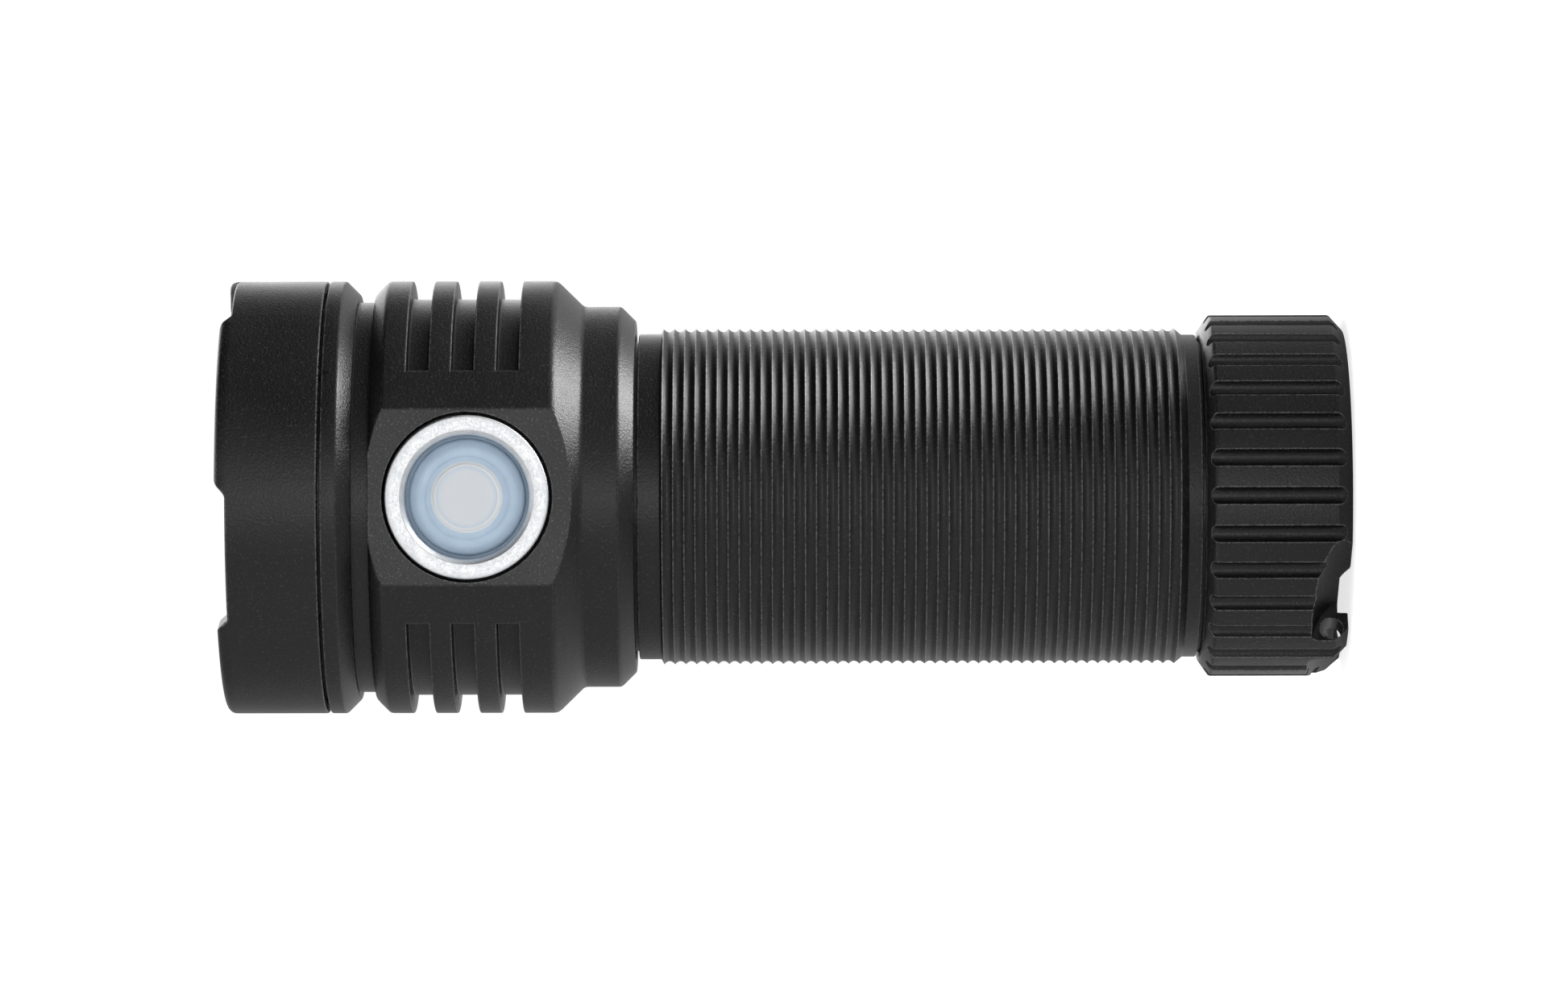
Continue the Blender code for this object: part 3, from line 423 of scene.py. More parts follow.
# %% Settling a piece and handing it to the frame
def settle(piece):
    bpy.context.view_layer.update()
    graph = bpy.context.evaluated_depsgraph_get()
    mesh = bpy.data.meshes.new_from_object(piece.evaluated_get(graph))
    piece.modifiers.clear()
    piece.data = mesh
    mesh.transform(piece.matrix_world)
    piece.matrix_world = Matrix.Identity(4)
    return piece


def cut(piece, *cutters):
    for cutter in cutters:
        modifier = piece.modifiers.new(cutter.name, "BOOLEAN")
        modifier.operation = "DIFFERENCE"
        modifier.solver = "EXACT"
        modifier.object = cutter
    settle(piece)
    for cutter in cutters:
        bpy.data.objects.remove(cutter, do_unlink=True)
    return piece


def hand_over(piece, slot, body, nodes, finish=None, smooth=38):
    """Smooths a piece, gives it its finish and body, and hides the CAD nodes it stands for."""
    piece.data.shade_smooth()
    piece.data.set_sharp_from_angle(angle=math.radians(smooth))
    weighted = piece.modifiers.new("flat faces", "WEIGHTED_NORMAL")
    weighted.keep_sharp = True
    settle(piece)
    piece.data.materials.clear()
    piece.data.materials.append(finish or FINISHES[slot])
    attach(piece, body)
    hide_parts(*nodes)
    print(piece.name, "has", len(piece.data.polygons), "faces")


# %% [markdown]
# ## Geometry Nodes helpers
# A tree is a recipe with named inputs. Its modifier's inputs are set by the sockets' identifiers
# before the piece is first evaluated.


# %% Making and running a tree
def new_tree(name, inputs):
    tree = bpy.data.node_groups.new(name, "GeometryNodeTree")
    face = tree.interface
    face.new_socket("Geometry", in_out="INPUT", socket_type="NodeSocketGeometry")
    for label, kind in inputs.items():
        face.new_socket(label, in_out="INPUT", socket_type="NodeSocket" + kind)
    face.new_socket("Geometry", in_out="OUTPUT", socket_type="NodeSocketGeometry")
    return tree, step(tree, "NodeGroupInput").outputs


def run_tree(piece, tree, values):
    modifier = piece.modifiers.new(tree.name, "NODES")
    modifier.node_group = tree
    for socket in tree.interface.items_tree:
        if socket.in_out == "INPUT" and socket.name in values:
            modifier[socket.identifier] = values[socket.name]


def end_tree(tree, geometry, material):
    """Every tree ends in Realize Instances and Set Material."""
    real = step(tree, "GeometryNodeRealizeInstances", {"Geometry": geometry}).outputs[0]
    dressed = step(tree, "GeometryNodeSetMaterial", {"Geometry": real, "Material": material})
    step(tree, "NodeGroupOutput", {"Geometry": dressed.outputs[0]})


# %% [markdown]
# ## Rings and threads
# The grip rings and the screw threads are the same cut: a groove that repeats along the axis.
# With no lead it closes on itself as a ring, and with one pitch of lead it winds into a thread.
# Moving points inwards keeps the wall one piece, which a stack of separate rings would not be.

# %% The groove-cutting tree
lengths = dict.fromkeys(("Start", "End", "Pitch", "Depth", "Lead", "Surface"), "Float")
groove_tree, wanted = new_tree("cut grooves", lengths | {"Material": "Material"})
groove = partial(maths, groove_tree)
place = step(groove_tree, "GeometryNodeInputPosition").outputs[0]
parts = step(groove_tree, "ShaderNodeSeparateXYZ", {0: place}).outputs
level = step(groove_tree, "ShaderNodeCombineXYZ", {"X": parts["X"], "Y": parts["Y"]}).outputs[0]
radius = step(groove_tree, "ShaderNodeVectorMath", {0: level}, operation="LENGTH").outputs["Value"]
around = groove("DIVIDE", groove("ARCTAN2", parts["Y"], parts["X"]), TURN)
along = groove("DIVIDE", groove("SUBTRACT", parts["Z"], wanted["Start"]), wanted["Pitch"])
phase = groove("SUBTRACT", along, groove("MULTIPLY", around, wanted["Lead"]))
across = groove("MULTIPLY_ADD", groove("FRACT", phase), 2.0, -1.0)
hollow = groove("SUBTRACT", 1.0, groove("MULTIPLY", across, across))
inwards = groove("MULTIPLY", groove("MULTIPLY", hollow, wanted["Depth"]), -1.0)
share = {0: level, "Scale": groove("DIVIDE", inwards, radius)}
shift = step(groove_tree, "ShaderNodeVectorMath", share, operation="SCALE").outputs[0]
middle = groove("MULTIPLY", groove("ADD", wanted["Start"], wanted["End"]), 0.5)
half = groove("MULTIPLY", groove("SUBTRACT", wanted["End"], wanted["Start"]), 0.5)
on_surface = groove("COMPARE", radius, wanted["Surface"], 0.05 * mm)
in_reach = groove("COMPARE", parts["Z"], middle, half)
chosen = groove("MULTIPLY", on_surface, in_reach)
move = {"Geometry": wanted["Geometry"], "Selection": chosen, "Offset": shift}
moved = step(groove_tree, "GeometryNodeSetPosition", move).outputs[0]
end_tree(groove_tree, moved, wanted["Material"])
print("groove tree has", len(groove_tree.nodes), "nodes")


def cut_grooves(piece, start, end, pitch, depth, lead, surface):
    """Sizes in mm. A negative depth cuts outwards, into a bore."""
    values = {"Start": start * mm, "End": end * mm, "Pitch": pitch * mm, "Depth": depth * mm,
              "Lead": float(lead), "Surface": surface * mm, "Material": ANODISED}
    run_tree(piece, groove_tree, values)


def rows(radius, start, end, count):
    """Points straight along an outline, close enough together to be cut into grooves."""
    return [(radius, start + (end - start) * index / count) for index in range(count + 1)]


# %% [markdown]
# ## Battery tube
# The grip is 47 shallow scallops between sharp crests. On the real tube a round-nosed tool cuts
# them one by one. Both ends have a spigot with a 1 mm thread and a seat for its O-ring.

# %% Battery tube
tube_low, tube_high = box_of("battery_tube")
gap = 0.3  # between a piece's shoulder and the next piece
crest = tube_high.x
neck = crest - 0.5
spigot = neck - 0.8
bore = spigot - 1.6
rear_neck = crest - 0.64
front_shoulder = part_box("head_body")[0].z / mm - gap
rear_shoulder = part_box("tail_cap")[1].z / mm + gap
grip_start, grip_end, grip_rings = rear_shoulder + 2.1, front_shoulder - 2.4, 47
points_a_ring, ring_depth = 8, 0.3
seat_floor, seat_near, seat_far = spigot - 0.9, 1.1, 2.5  # the O-ring seats, from the shoulders
thread_pitch, thread_depth = 1.0, 0.4

tube_outline = [
    (bore, tube_high.z - 0.25), (bore + 0.25, tube_high.z), (spigot - 0.35, tube_high.z),
    *rows(spigot, tube_high.z - 0.35, front_shoulder + 2.8, 27),
    (spigot, front_shoulder + seat_far), (seat_floor, front_shoulder + seat_far),
    (seat_floor, front_shoulder + seat_near), (spigot, front_shoulder + seat_near),
    (spigot, front_shoulder), (neck - 0.15, front_shoulder),
    (neck - 0.04, front_shoulder - 0.04), (neck, front_shoulder - 0.15),
    (neck, grip_end + 0.35), (neck + 0.05, grip_end + 0.22), (crest - 0.04, grip_end + 0.02),
    *rows(crest, grip_end, grip_start, grip_rings * points_a_ring),
    (crest - 0.03, grip_start - 0.03), (crest - 0.6, grip_start - 0.72),
    (rear_neck, grip_start - 0.8), (rear_neck, rear_shoulder + 0.15),
    (crest - 0.68, rear_shoulder + 0.04), (crest - 0.79, rear_shoulder), (spigot, rear_shoulder),
    (spigot, rear_shoulder - seat_near), (seat_floor, rear_shoulder - seat_near),
    (seat_floor, rear_shoulder - seat_far), (spigot, rear_shoulder - seat_far),
    *rows(spigot, rear_shoulder - 2.8, tube_low.z + 0.35, 39),
    (spigot - 0.35, tube_low.z), (bore + 0.25, tube_low.z), (bore, tube_low.z + 0.25),
]
tube = turned("battery_tube_body", tube_outline)
cut_grooves(tube, grip_start, grip_end, (grip_end - grip_start) / grip_rings, ring_depth, 0, crest)
for start, end in ((front_shoulder + 2.9, tube_high.z - 0.4),
                   (tube_low.z + 0.4, rear_shoulder - 2.9)):
    cut_grooves(tube, start, end, thread_pitch, thread_depth, 1, spigot)
settle(tube)
hand_over(tube, "black_anodised", "light_body", ["battery_tube"], smooth=30)

# %% [markdown]
# ## Head
# The head is one turned piece. Three slots run round its back and stop beside the switch, where a
# flat plate would leave their ends square. The grid's columns follow those square ends: a column
# at a slot's end stands at one distance from the middle plane, whatever its radius, so the end
# wall comes out flat.

# %% The head's outline
head_low, head_high = box_of("head_body")
bezel_low, bezel_high = box_of("bezel_ring")
head_radius = head_high.x
collar_radius = head_radius - 2.54
fins_top = fins_bottom + 16.45
flange_top = bezel_low.z - gap
groove_top = flange_top - 2.85
slot_depth, slot_width, slot_pitch, slot_count = 1.79, 2.15, 4.33, 3
first_slot = fins_bottom + 3.33
slot_end = 12.175
socket_radius = spigot + gap
cavity_radius = head_radius - 3.2
lip = 0.12  # the rounding of a slot's edges
shelf_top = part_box("led_board")[0].z / mm - gap
shelf_bottom = shelf_top - 2.1
chamber_radius, chamber_bore, chamber_top = 12.989, 11.789, head_low.z + 11.7
nose, nose_seat = head_radius - 1.3, head_radius - 2.5
front_groove = flange_top + 1.9

plain = soften([
    (0, shelf_top), (cavity_radius, shelf_top, 0.3), (cavity_radius, head_high.z),
    (nose, head_high.z, 0.2), (nose, front_groove + 0.8), (nose_seat, front_groove + 0.8),
    (nose_seat, front_groove - 0.8), (nose, front_groove - 0.8), (nose, flange_top),
    (head_radius, flange_top, 0.16), (head_radius, groove_top + 1.33, 0.18),
    (head_radius - 1.33, groove_top, 0.1), (head_radius - 2.08, groove_top),
    (head_radius - 2.08, groove_bottom), (head_radius - 1.35, groove_bottom, 0.06),
    (head_radius - 1.0, fins_top + 1.0, 0.06), (head_radius, fins_top, 0.25),
    (head_radius, fins_bottom, 0.4), (collar_radius, fins_bottom - 2.6, 0.3),
    (collar_radius, head_low.z + 1.45, 0.25), (collar_radius - 1.45, head_low.z, 0.12),
    (socket_radius, head_low.z, 0.15), (socket_radius, tube_high.z + gap),
    (chamber_radius, tube_high.z + gap), (chamber_radius, chamber_top),
    (chamber_bore, chamber_top), (chamber_bore, shelf_bottom, 0.2), (0, shelf_bottom),
])
top_edge = max(
    index for index, (r, z) in enumerate(plain)
    if abs(r - head_radius) < 1e-4 and z > fins_top - 1.0
)
slot_side = (
    (lip, 0.0), (0.3 * lip, 0.3 * lip), (0.0, lip), (0.0, slot_depth - 0.25),
    (-0.07, slot_depth - 0.07), (-0.25, slot_depth),
)
# Each point is (radius, height, how far it sinks where there is a slot).
outline = [(r, z, 0.0) for r, z in plain[: top_edge + 1]]
for index in reversed(range(slot_count)):
    low = first_slot + slot_pitch * index
    high = low + slot_width
    outline += [(head_radius, high + rise, sink) for rise, sink in slot_side]
    outline += [(head_radius, low - rise, sink) for rise, sink in reversed(slot_side)]
outline += [(r, z, 0.0) for r, z in plain[top_edge + 1 :]]
print("head outline has", len(outline), "points")

# %% The head's columns
FRONT_COLUMNS, HALF_BACK = 40, 60


def head_column(side, reach, share, limit):
    """side is -1 or 1. reach is the distance from the middle plane, share how far round to the
    back, and limit the deepest that a slot goes here."""
    column = []
    for radius, height, sink in outline:
        sink = min(sink, limit)
        angle = math.asin(reach / (head_radius - sink))
        angle = angle + (math.pi - angle) * share
        column.append(at(side * angle, radius - sink, height))
    return column


ends = [(slot_end - lip, 0.0), (slot_end - 0.3 * lip, 0.3 * lip), (slot_end, lip),
        (slot_end, slot_depth)]
front_angle = math.asin(ends[0][0] / head_radius)
columns = []
for index in range(-FRONT_COLUMNS // 2 + 1, FRONT_COLUMNS // 2):
    reach = head_radius * math.sin(front_angle * 2 * index / FRONT_COLUMNS)
    columns.append(head_column(1, reach, 0.0, 0.0))
columns += [head_column(1, reach, 0.0, limit) for reach, limit in ends]
for side, indices in ((1, range(1, HALF_BACK)), (-1, range(HALF_BACK, 0, -1))):
    columns += [head_column(side, slot_end, index / HALF_BACK, slot_depth) for index in indices]
columns += [head_column(-1, reach, 0.0, limit) for reach, limit in reversed(ends)]
head = from_columns("head_shell", columns)
print("head grid has", len(head.data.vertices), "points")

# %% [markdown]
# The switch facet is milled across the fins, with a stepped pocket behind it and a hole for the
# wires. Milling is a subtraction, so Booleans suit it: the facet's edge then runs true over the
# cone and the chamfer.


# %% Facet, pocket and shelf holes
def rod(name, radius, start, end, sides=48, nose=0.0):
    """A round bar between two points in metres, its radius in mm. A nose rounds its first rim."""
    start, end = Vector(start), Vector(end)
    length = (end - start).length / mm
    bar_outline = soften([(0, 0), (radius, 0, nose), (radius, length), (0, length)], 0.0, 6)
    bar = turned(name, bar_outline, sides)
    turning = (end - start).to_track_quat("Z", "Y").to_matrix().to_4x4()
    bar.matrix_world = Matrix.Translation(start) @ turning
    return bar


def block(name, low, high):
    shape = bmesh.new()
    low, high = Vector(low) * mm, Vector(high) * mm
    matrix = Matrix.Translation((low + high) / 2) @ Matrix.Diagonal((*(high - low), 1))
    bmesh.ops.create_cube(shape, size=1, matrix=matrix)
    return from_shape(name, shape)


def out_of_switch(piece):
    """Turns a piece made along Z so that it points out through the facet."""
    place = Matrix.Translation((0, 0, switch_height))
    piece.matrix_world = place @ Matrix.Rotation(math.pi / 2, 4, "X")
    return piece


ring_radius = switch_high.x / mm
ring_face, ring_back = -switch_low.y / mm, -switch_high.y / mm
pocket_radius, pocket_floor = ring_radius + gap, facet - 5.3
step_radius, step_height = pocket_radius - 0.55, pocket_floor + 1.9
pocket_outline = soften([
    (0, ring_face + 1), (pocket_radius, ring_face + 1), (pocket_radius, step_height),
    (step_radius, step_height), (step_radius, pocket_floor), (0, pocket_floor)], 0.05)
facet_block = block("facet", (-30, -60, facet_bottom), (30, -facet, facet_top))
pocket = out_of_switch(turned("pocket", pocket_outline, 96))
wire_spot = switch_height + 2.0 * mm
wire_hole = rod("wire hole", 1.6, (0, -9.8 * mm, wire_spot), (0, -15.2 * mm, wire_spot), 32)
wire_bore, screw_bore, screw_offset = 2.2, 1.3, 9.289
shelf_rods = []
for spot, size in ((0, wire_bore), (-screw_offset, screw_bore), (screw_offset, screw_bore)):
    below, above = (0, spot * mm, (shelf_top - 4) * mm), (0, spot * mm, (shelf_top + 2) * mm)
    shelf_rods.append(rod("shelf hole", size, below, above, 32))
cut(head, facet_block, pocket, wire_hole, *shelf_rods)
print("head after milling has", len(head.data.polygons), "faces")


# %% [markdown]
# The mill leaves the facet's border sharp, and a light deburring breaks it. Only the edges that
# lie on the facet's plane are bevelled.


# %% Deburring
def deburr(piece, on_border, width, steps=2):
    shape = bmesh.new()
    shape.from_mesh(piece.data)
    bmesh.ops.remove_doubles(shape, verts=shape.verts, dist=0.01 * mm)
    chosen = []
    for edge in shape.edges:
        between_two = len(edge.link_faces) == 2
        if between_two and edge.calc_face_angle(0) > math.radians(20) and on_border(edge):
            chosen.append(edge)
    bmesh.ops.bevel(shape, geom=chosen, offset=width * mm, segments=steps, profile=0.5,
                    affect="EDGES", clamp_overlap=False)
    shape.to_mesh(piece.data)
    shape.free()
    print(piece.name, "has", len(chosen), "deburred edges")


def on_facet(edge):
    return all(abs(corner.co.y + facet * mm) < 0.002 * mm for corner in edge.verts)


deburr(head, on_facet, 0.10)
hand_over(head, "black_anodised", "light_body", ["head_body"])

# %% [markdown]
# ## Bezel
# Two straight slots milled right across the front leave four teeth. Each slot's walls run
# parallel, so the columns near a notch stand at a fixed distance from its middle line at every
# radius, and only the middle of a tooth fans out. Across the notch the height follows a small
# outline: floor, rounded flank, tooth top.

# %% Bezel
tooth_top, notch_floor = bezel_high.z, bezel_high.z - 1.05
notch_half, flank, rounding = 6.3, 1.05, 0.8
notch_turn = math.radians(-16.75)
lip_inner, lens_pocket, bezel_bore = head_radius - 2.842, head_radius - 1.642, head_radius - 1.0
lens_low, lens_high = box_of("lens")
lip_bottom = lens_high.z + 1.2
flank_outline = soften(
    [(notch_half - 3, notch_floor), (notch_half, notch_floor, 0.35),
     (notch_half + flank, tooth_top, 0.4), (notch_half + 4, tooth_top)], 0.0, 4)[1:-1]


def bezel_outer(height):
    """The bezel's outer radius at a height: straight, then rounded over at the front."""
    over = max(0.0, min(height - (tooth_top - rounding), rounding))
    return head_radius - rounding + math.sqrt(max(rounding**2 - over**2, 0.0))


def bezel_column(angle_at, height):
    """One column, cut off at this height. angle_at gives the angle at a radius."""
    share = (height - notch_floor) / flank
    broken = 0.13 * (1 - share) + 0.01
    straight_top = notch_floor - 0.35
    points = [(bezel_bore, bezel_low.z + 0.1), (bezel_bore + 0.1, bezel_low.z),
              (head_radius - 0.16, bezel_low.z), (head_radius - 0.05, bezel_low.z + 0.05),
              (head_radius, bezel_low.z + 0.16),
              (head_radius, (bezel_low.z + straight_top) / 2), (head_radius, straight_top)]
    for part in range(1, 9):
        rise = 0.42 * part / 3 if part < 3 else 0.6 + 0.8 * math.sin(math.pi / 2 * (part - 2) / 6)
        level = straight_top + (height - broken - straight_top) * rise / 1.4
        points.append((bezel_outer(level), level))
    edge_radius = bezel_outer(height) - broken
    top_width = lip_inner + 0.15 - edge_radius
    points += [(edge_radius + top_width * part / 4, height) for part in range(5)]
    points += [(lip_inner + 0.04, height - 0.04), (lip_inner, height - 0.15),
               (lip_inner, lip_bottom + 0.05), (lip_inner + 0.05, lip_bottom),
               (lens_pocket, lip_bottom), (lens_pocket, lens_low.z), (bezel_bore, lens_low.z)]
    return [at(angle_at(radius), radius, level) for radius, level in points]


def bezel_quarter(start):
    quarter = []
    floor_steps, tooth_steps = 12, 22
    inner_reach, last_reach = flank_outline[0][0], flank_outline[-1][0]
    reaches = [(-inner_reach + 2 * inner_reach * index / floor_steps, notch_floor)
               for index in range(floor_steps)]
    for reach, height in reaches + flank_outline:
        quarter.append(bezel_column(lambda r: start + math.asin(reach / r), height))
    for index in range(1, tooth_steps):
        share = index / tooth_steps
        quarter.append(bezel_column(
            lambda r: start + math.asin(last_reach / r) * (1 - 2 * share) + math.pi / 2 * share,
            tooth_top))
    for reach, height in reversed(flank_outline[1:]):
        quarter.append(bezel_column(lambda r: start + math.pi / 2 - math.asin(reach / r), height))
    return quarter


bezel_columns = []
for quarter_turn in range(4):
    bezel_columns += bezel_quarter(notch_turn + quarter_turn * math.pi / 2)
bezel = from_columns("bezel_crown", bezel_columns)
hand_over(bezel, "black_anodised", "light_body", ["bezel_ring"])

# %% [markdown]
# ## Tail cap
# Thirty half-round flutes run along the cap, so its columns follow the fluted outline. Where a
# column is sunk, it meets the end chamfers further in, which draws the wavy line that a fluted
# cap has at its ends.

# %% The cap's fluted columns
cap_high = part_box("tail_cap")[1] / mm
cap_radius = cap_high.x
cap_chamfer, rear_rise = 1.45, 1.3
chamfer_in = cap_radius - cap_chamfer
board_radius, board_floor, socket_floor = 12.6, 3.0, 4.3
recess_radius, recess_depth = 14.4, 1.0
flute_count, flute_radius = 30, 0.8
flute_outline = [(-0.93, 0.0), (-0.84, 0.025), (-0.79, 0.12)]
for part in range(1, 10):
    turn = math.pi * part / 10
    flute_outline.append((-flute_radius * math.cos(turn), flute_radius * math.sin(turn)))
flute_outline += [(0.79, 0.12), (0.84, 0.025), (0.93, 0.0)]
flute_outline += [(0.93 + 1.85 * part / 4, 0.0) for part in range(1, 4)]


def cap_column(angle, radius):
    chamfer = [chamfer_in + (radius - chamfer_in) * share for share in (0.0, 0.35, 0.7, 0.93)]
    points = [(0, board_floor), (board_radius, board_floor), (board_radius, socket_floor - 0.05),
              (board_radius + 0.05, socket_floor), (socket_radius, socket_floor)]
    points += rows(socket_radius, 4.9, 12.4, 48)
    points += [(socket_radius, cap_high.z - 0.15), (socket_radius + 0.15, cap_high.z),
               (chamfer_in - 0.08, cap_high.z)]
    points += [(r, cap_high.z - (r - chamfer_in) / cap_chamfer) for r in chamfer]
    top = cap_high.z - (radius - chamfer_in) / cap_chamfer
    bottom = rear_rise * (radius - chamfer_in) / cap_chamfer
    points += [(radius - 0.02, top - 0.06), (radius, top - 0.2), (radius, top - 2),
               (radius, (top + bottom) / 2), (radius, bottom + 2), (radius, bottom + 0.2),
               (radius - 0.02, bottom + 0.06)]
    points += [(r, rear_rise * (r - chamfer_in) / cap_chamfer) for r in reversed(chamfer)]
    points += [(chamfer_in - 0.1, 0.0), (recess_radius + 0.1, 0.0), (recess_radius, 0.1),
               (recess_radius, recess_depth), (0, recess_depth)]
    return [at(angle, r, z) for r, z in points]


cap_columns = []
for flute in range(flute_count):
    for offset, sink in flute_outline:
        angle = TURN * flute / flute_count + math.atan2(offset, cap_radius - sink)
        radius = min(cap_radius, math.hypot(cap_radius - sink, offset))
        cap_columns.append(cap_column(angle, radius))
cap = from_columns("tail_cap_body", cap_columns)
cut_grooves(cap, 5.0, 12.4, thread_pitch, -0.35, 1, socket_radius)
settle(cap)
print("cap grid has", len(cap.data.vertices), "points")

# %% [markdown]
# The lanyard lug is what two round scoops leave between them. A ball-nosed tool sweeps each one
# in along the tangent and stops at the lug, which is why the scoop's end is rounded. The hole is
# drilled through the lug, a little off the tangent.

# %% Scoops and lanyard hole
lug_turn, lug_half = math.radians(-58.3), math.radians(5.7)
hole_turn = lug_turn - math.radians(14)
scoop_radius, scoop_nose, scoop_length = 5.3, 1.1, 20
scoops = []
for side in (-1, 1):
    angle = lug_turn + side * lug_half
    outward = Vector((math.sin(angle), -math.cos(angle), 0))
    tangent = Vector((math.cos(angle), math.sin(angle), 0)) * side
    centre = outward * (cap_radius + 0.55) * mm - Vector((0, 0, 1.5 * mm))
    end = centre + tangent * scoop_length * mm
    scoops.append(rod("scoop", scoop_radius, centre, end, 96, nose=scoop_nose))
outward = Vector((math.sin(lug_turn), -math.cos(lug_turn), 0))
tangent = Vector((math.cos(hole_turn), math.sin(hole_turn), 0))
centre = outward * (cap_radius - 1.95) * mm + Vector((0, 0, 1.66 * mm))
hole = rod("lanyard hole", 1.15, centre - tangent * 5.3 * mm, centre + tangent * 5.3 * mm, 48)
cut(cap, *scoops, hole)
hand_over(cap, "black_anodised", "tail_cap_unit", ["tail_cap"])

# %% [markdown]
# ## Switch
# A bright turned ring clamps a rubber boot. Both are turned about the switch's own axis and then
# pointed out through the facet. The boot has a raised pad in the middle and a faint moulded
# groove round it.

# %% Switch ring and boot
ring_bore = ring_radius - 1.925
ring_outline = soften([
    (ring_radius, ring_back), (ring_bore, ring_back), (ring_bore, ring_face - 0.76, 0.08),
    (ring_radius - 1.86, ring_face - 0.42, 0.05), (ring_radius - 1.45, ring_face, 0.07),
    (ring_radius - 0.12, ring_face, 0.1), (ring_radius, ring_face - 0.14, 0.08),
], 0.06)
switch_ring = settle(out_of_switch(turned("switch_bezel", ring_outline, 128)))
hand_over(switch_ring, "bare_aluminium", "light_body", ["switch_ring"])

boot_low, boot_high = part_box("switch_boot")
boot_top, boot_back, flange = -boot_low.y / mm, -boot_high.y / mm, boot_high.x / mm
shoulder = boot_top - 0.4
boot_radius = ring_radius - 2.275
boot_inner, stem_radius, stem_end = boot_radius - 0.7, 1.6, boot_top - 1.749
boot_outline = soften([
    (0, boot_top - 0.02), (2.2, boot_top - 0.01), (3.2, boot_top, 0.22),
    (3.22, shoulder, 0.14), (3.85, shoulder, 0.08), (4.0, shoulder - 0.1, 0.08),
    (4.15, shoulder, 0.08), (boot_radius - 0.85, shoulder, 0.4),
    (boot_radius, shoulder - 0.8, 0.5), (boot_radius, boot_back + 0.7), (flange, boot_back + 0.7),
    (flange, boot_back), (boot_inner, boot_back), (boot_inner, shoulder - 1.1, 0.4),
    (stem_radius, shoulder - 0.7), (stem_radius, stem_end), (0, stem_end)], 0.08, 3)
boot = settle(out_of_switch(turned("switch_cover", boot_outline, 96)))
hand_over(boot, "pale_silicone", "switch_button", ["switch_boot"])

# %% [markdown]
# ## Rubber rings, gasket and glass
# O-rings are a round section swept round the axis. The gasket is a flat ring, and the lens a disc
# with ground edges, so light catches its rim.


# %% Seals and lens
def seal(name, node):
    low, high = box_of(node)
    cord = (high.z - low.z) / math.cos(math.pi / 6) / 2
    centre_radius, height = high.x - cord, (high.z + low.z) / 2
    turns = [TURN * part / 14 for part in range(14)]
    section = [(centre_radius + cord * math.cos(turn), height + 0.93 * cord * math.sin(turn))
               for turn in turns]
    hand_over(turned(name, section, 128), "black_rubber", "light_body", [node])


seal("bezel_seal", "bezel_o_ring")
seal("front_seal", "front_o_ring")
seal("rear_seal", "rear_o_ring")
gasket_low, gasket_high = box_of("lens_gasket")
gasket_inner = gasket_high.x - 0.7
gasket_outline = [(gasket_inner, gasket_high.z), (gasket_high.x, gasket_high.z),
                  (gasket_high.x, gasket_low.z), (gasket_inner, gasket_low.z)]
gasket = turned("lens_seal", soften(gasket_outline, 0.12), 128)
hand_over(gasket, "black_rubber", "light_body", ["lens_gasket"])
glass_outline = [(0, lens_high.z), (lens_high.x, lens_high.z, 0.25),
                 (lens_high.x, lens_low.z, 0.25), (0, lens_low.z)]
glass = turned("lens_window", soften(glass_outline, 0.2, 1), 128)
hand_over(glass, "lens_glass", "light_body", ["lens"])

# %% [markdown]
# ## Copies round the axis
# The reflector's cups and the emitters sit at the same four places. One tree makes them all: it
# sets points out on a circle and puts a copy of the piece on each.

# %% The ring-of-copies tree
copies_tree, wanted = new_tree(
    "copies in a ring", {"Count": "Int", "Ring": "Float", "First": "Float", "Material": "Material"}
)
circle = partial(maths, copies_tree)
order = step(copies_tree, "GeometryNodeInputIndex").outputs[0]
share = circle("DIVIDE", order, wanted["Count"])
angle = circle("MULTIPLY_ADD", share, TURN, wanted["First"])
x = circle("MULTIPLY", circle("COSINE", angle), wanted["Ring"])
y = circle("MULTIPLY", circle("SINE", angle), wanted["Ring"])
spot = step(copies_tree, "ShaderNodeCombineXYZ", {"X": x, "Y": y}).outputs[0]
where = {"Count": wanted["Count"], "Position": spot}
spots = step(copies_tree, "GeometryNodePoints", where).outputs[0]
placing = {"Points": spots, "Instance": wanted["Geometry"]}
copies = step(copies_tree, "GeometryNodeInstanceOnPoints", placing)
end_tree(copies_tree, copies.outputs[0], wanted["Material"])


def four_copies(piece, material):
    """Copies the piece to the four places, cup_offset from both middle planes."""
    values = {"Count": 4, "Ring": cup_offset * math.sqrt(2) * mm, "First": math.pi / 4}
    run_tree(piece, copies_tree, values | {"Material": material})
    return settle(piece)


print("copies tree has", len(copies_tree.nodes), "nodes")

# %% [markdown]
# ## Reflector
# A quad reflector is one block with four cups bored into it and polished. Each cup is a
# paraboloid: its radius grows with the square root of the distance from the emitter.

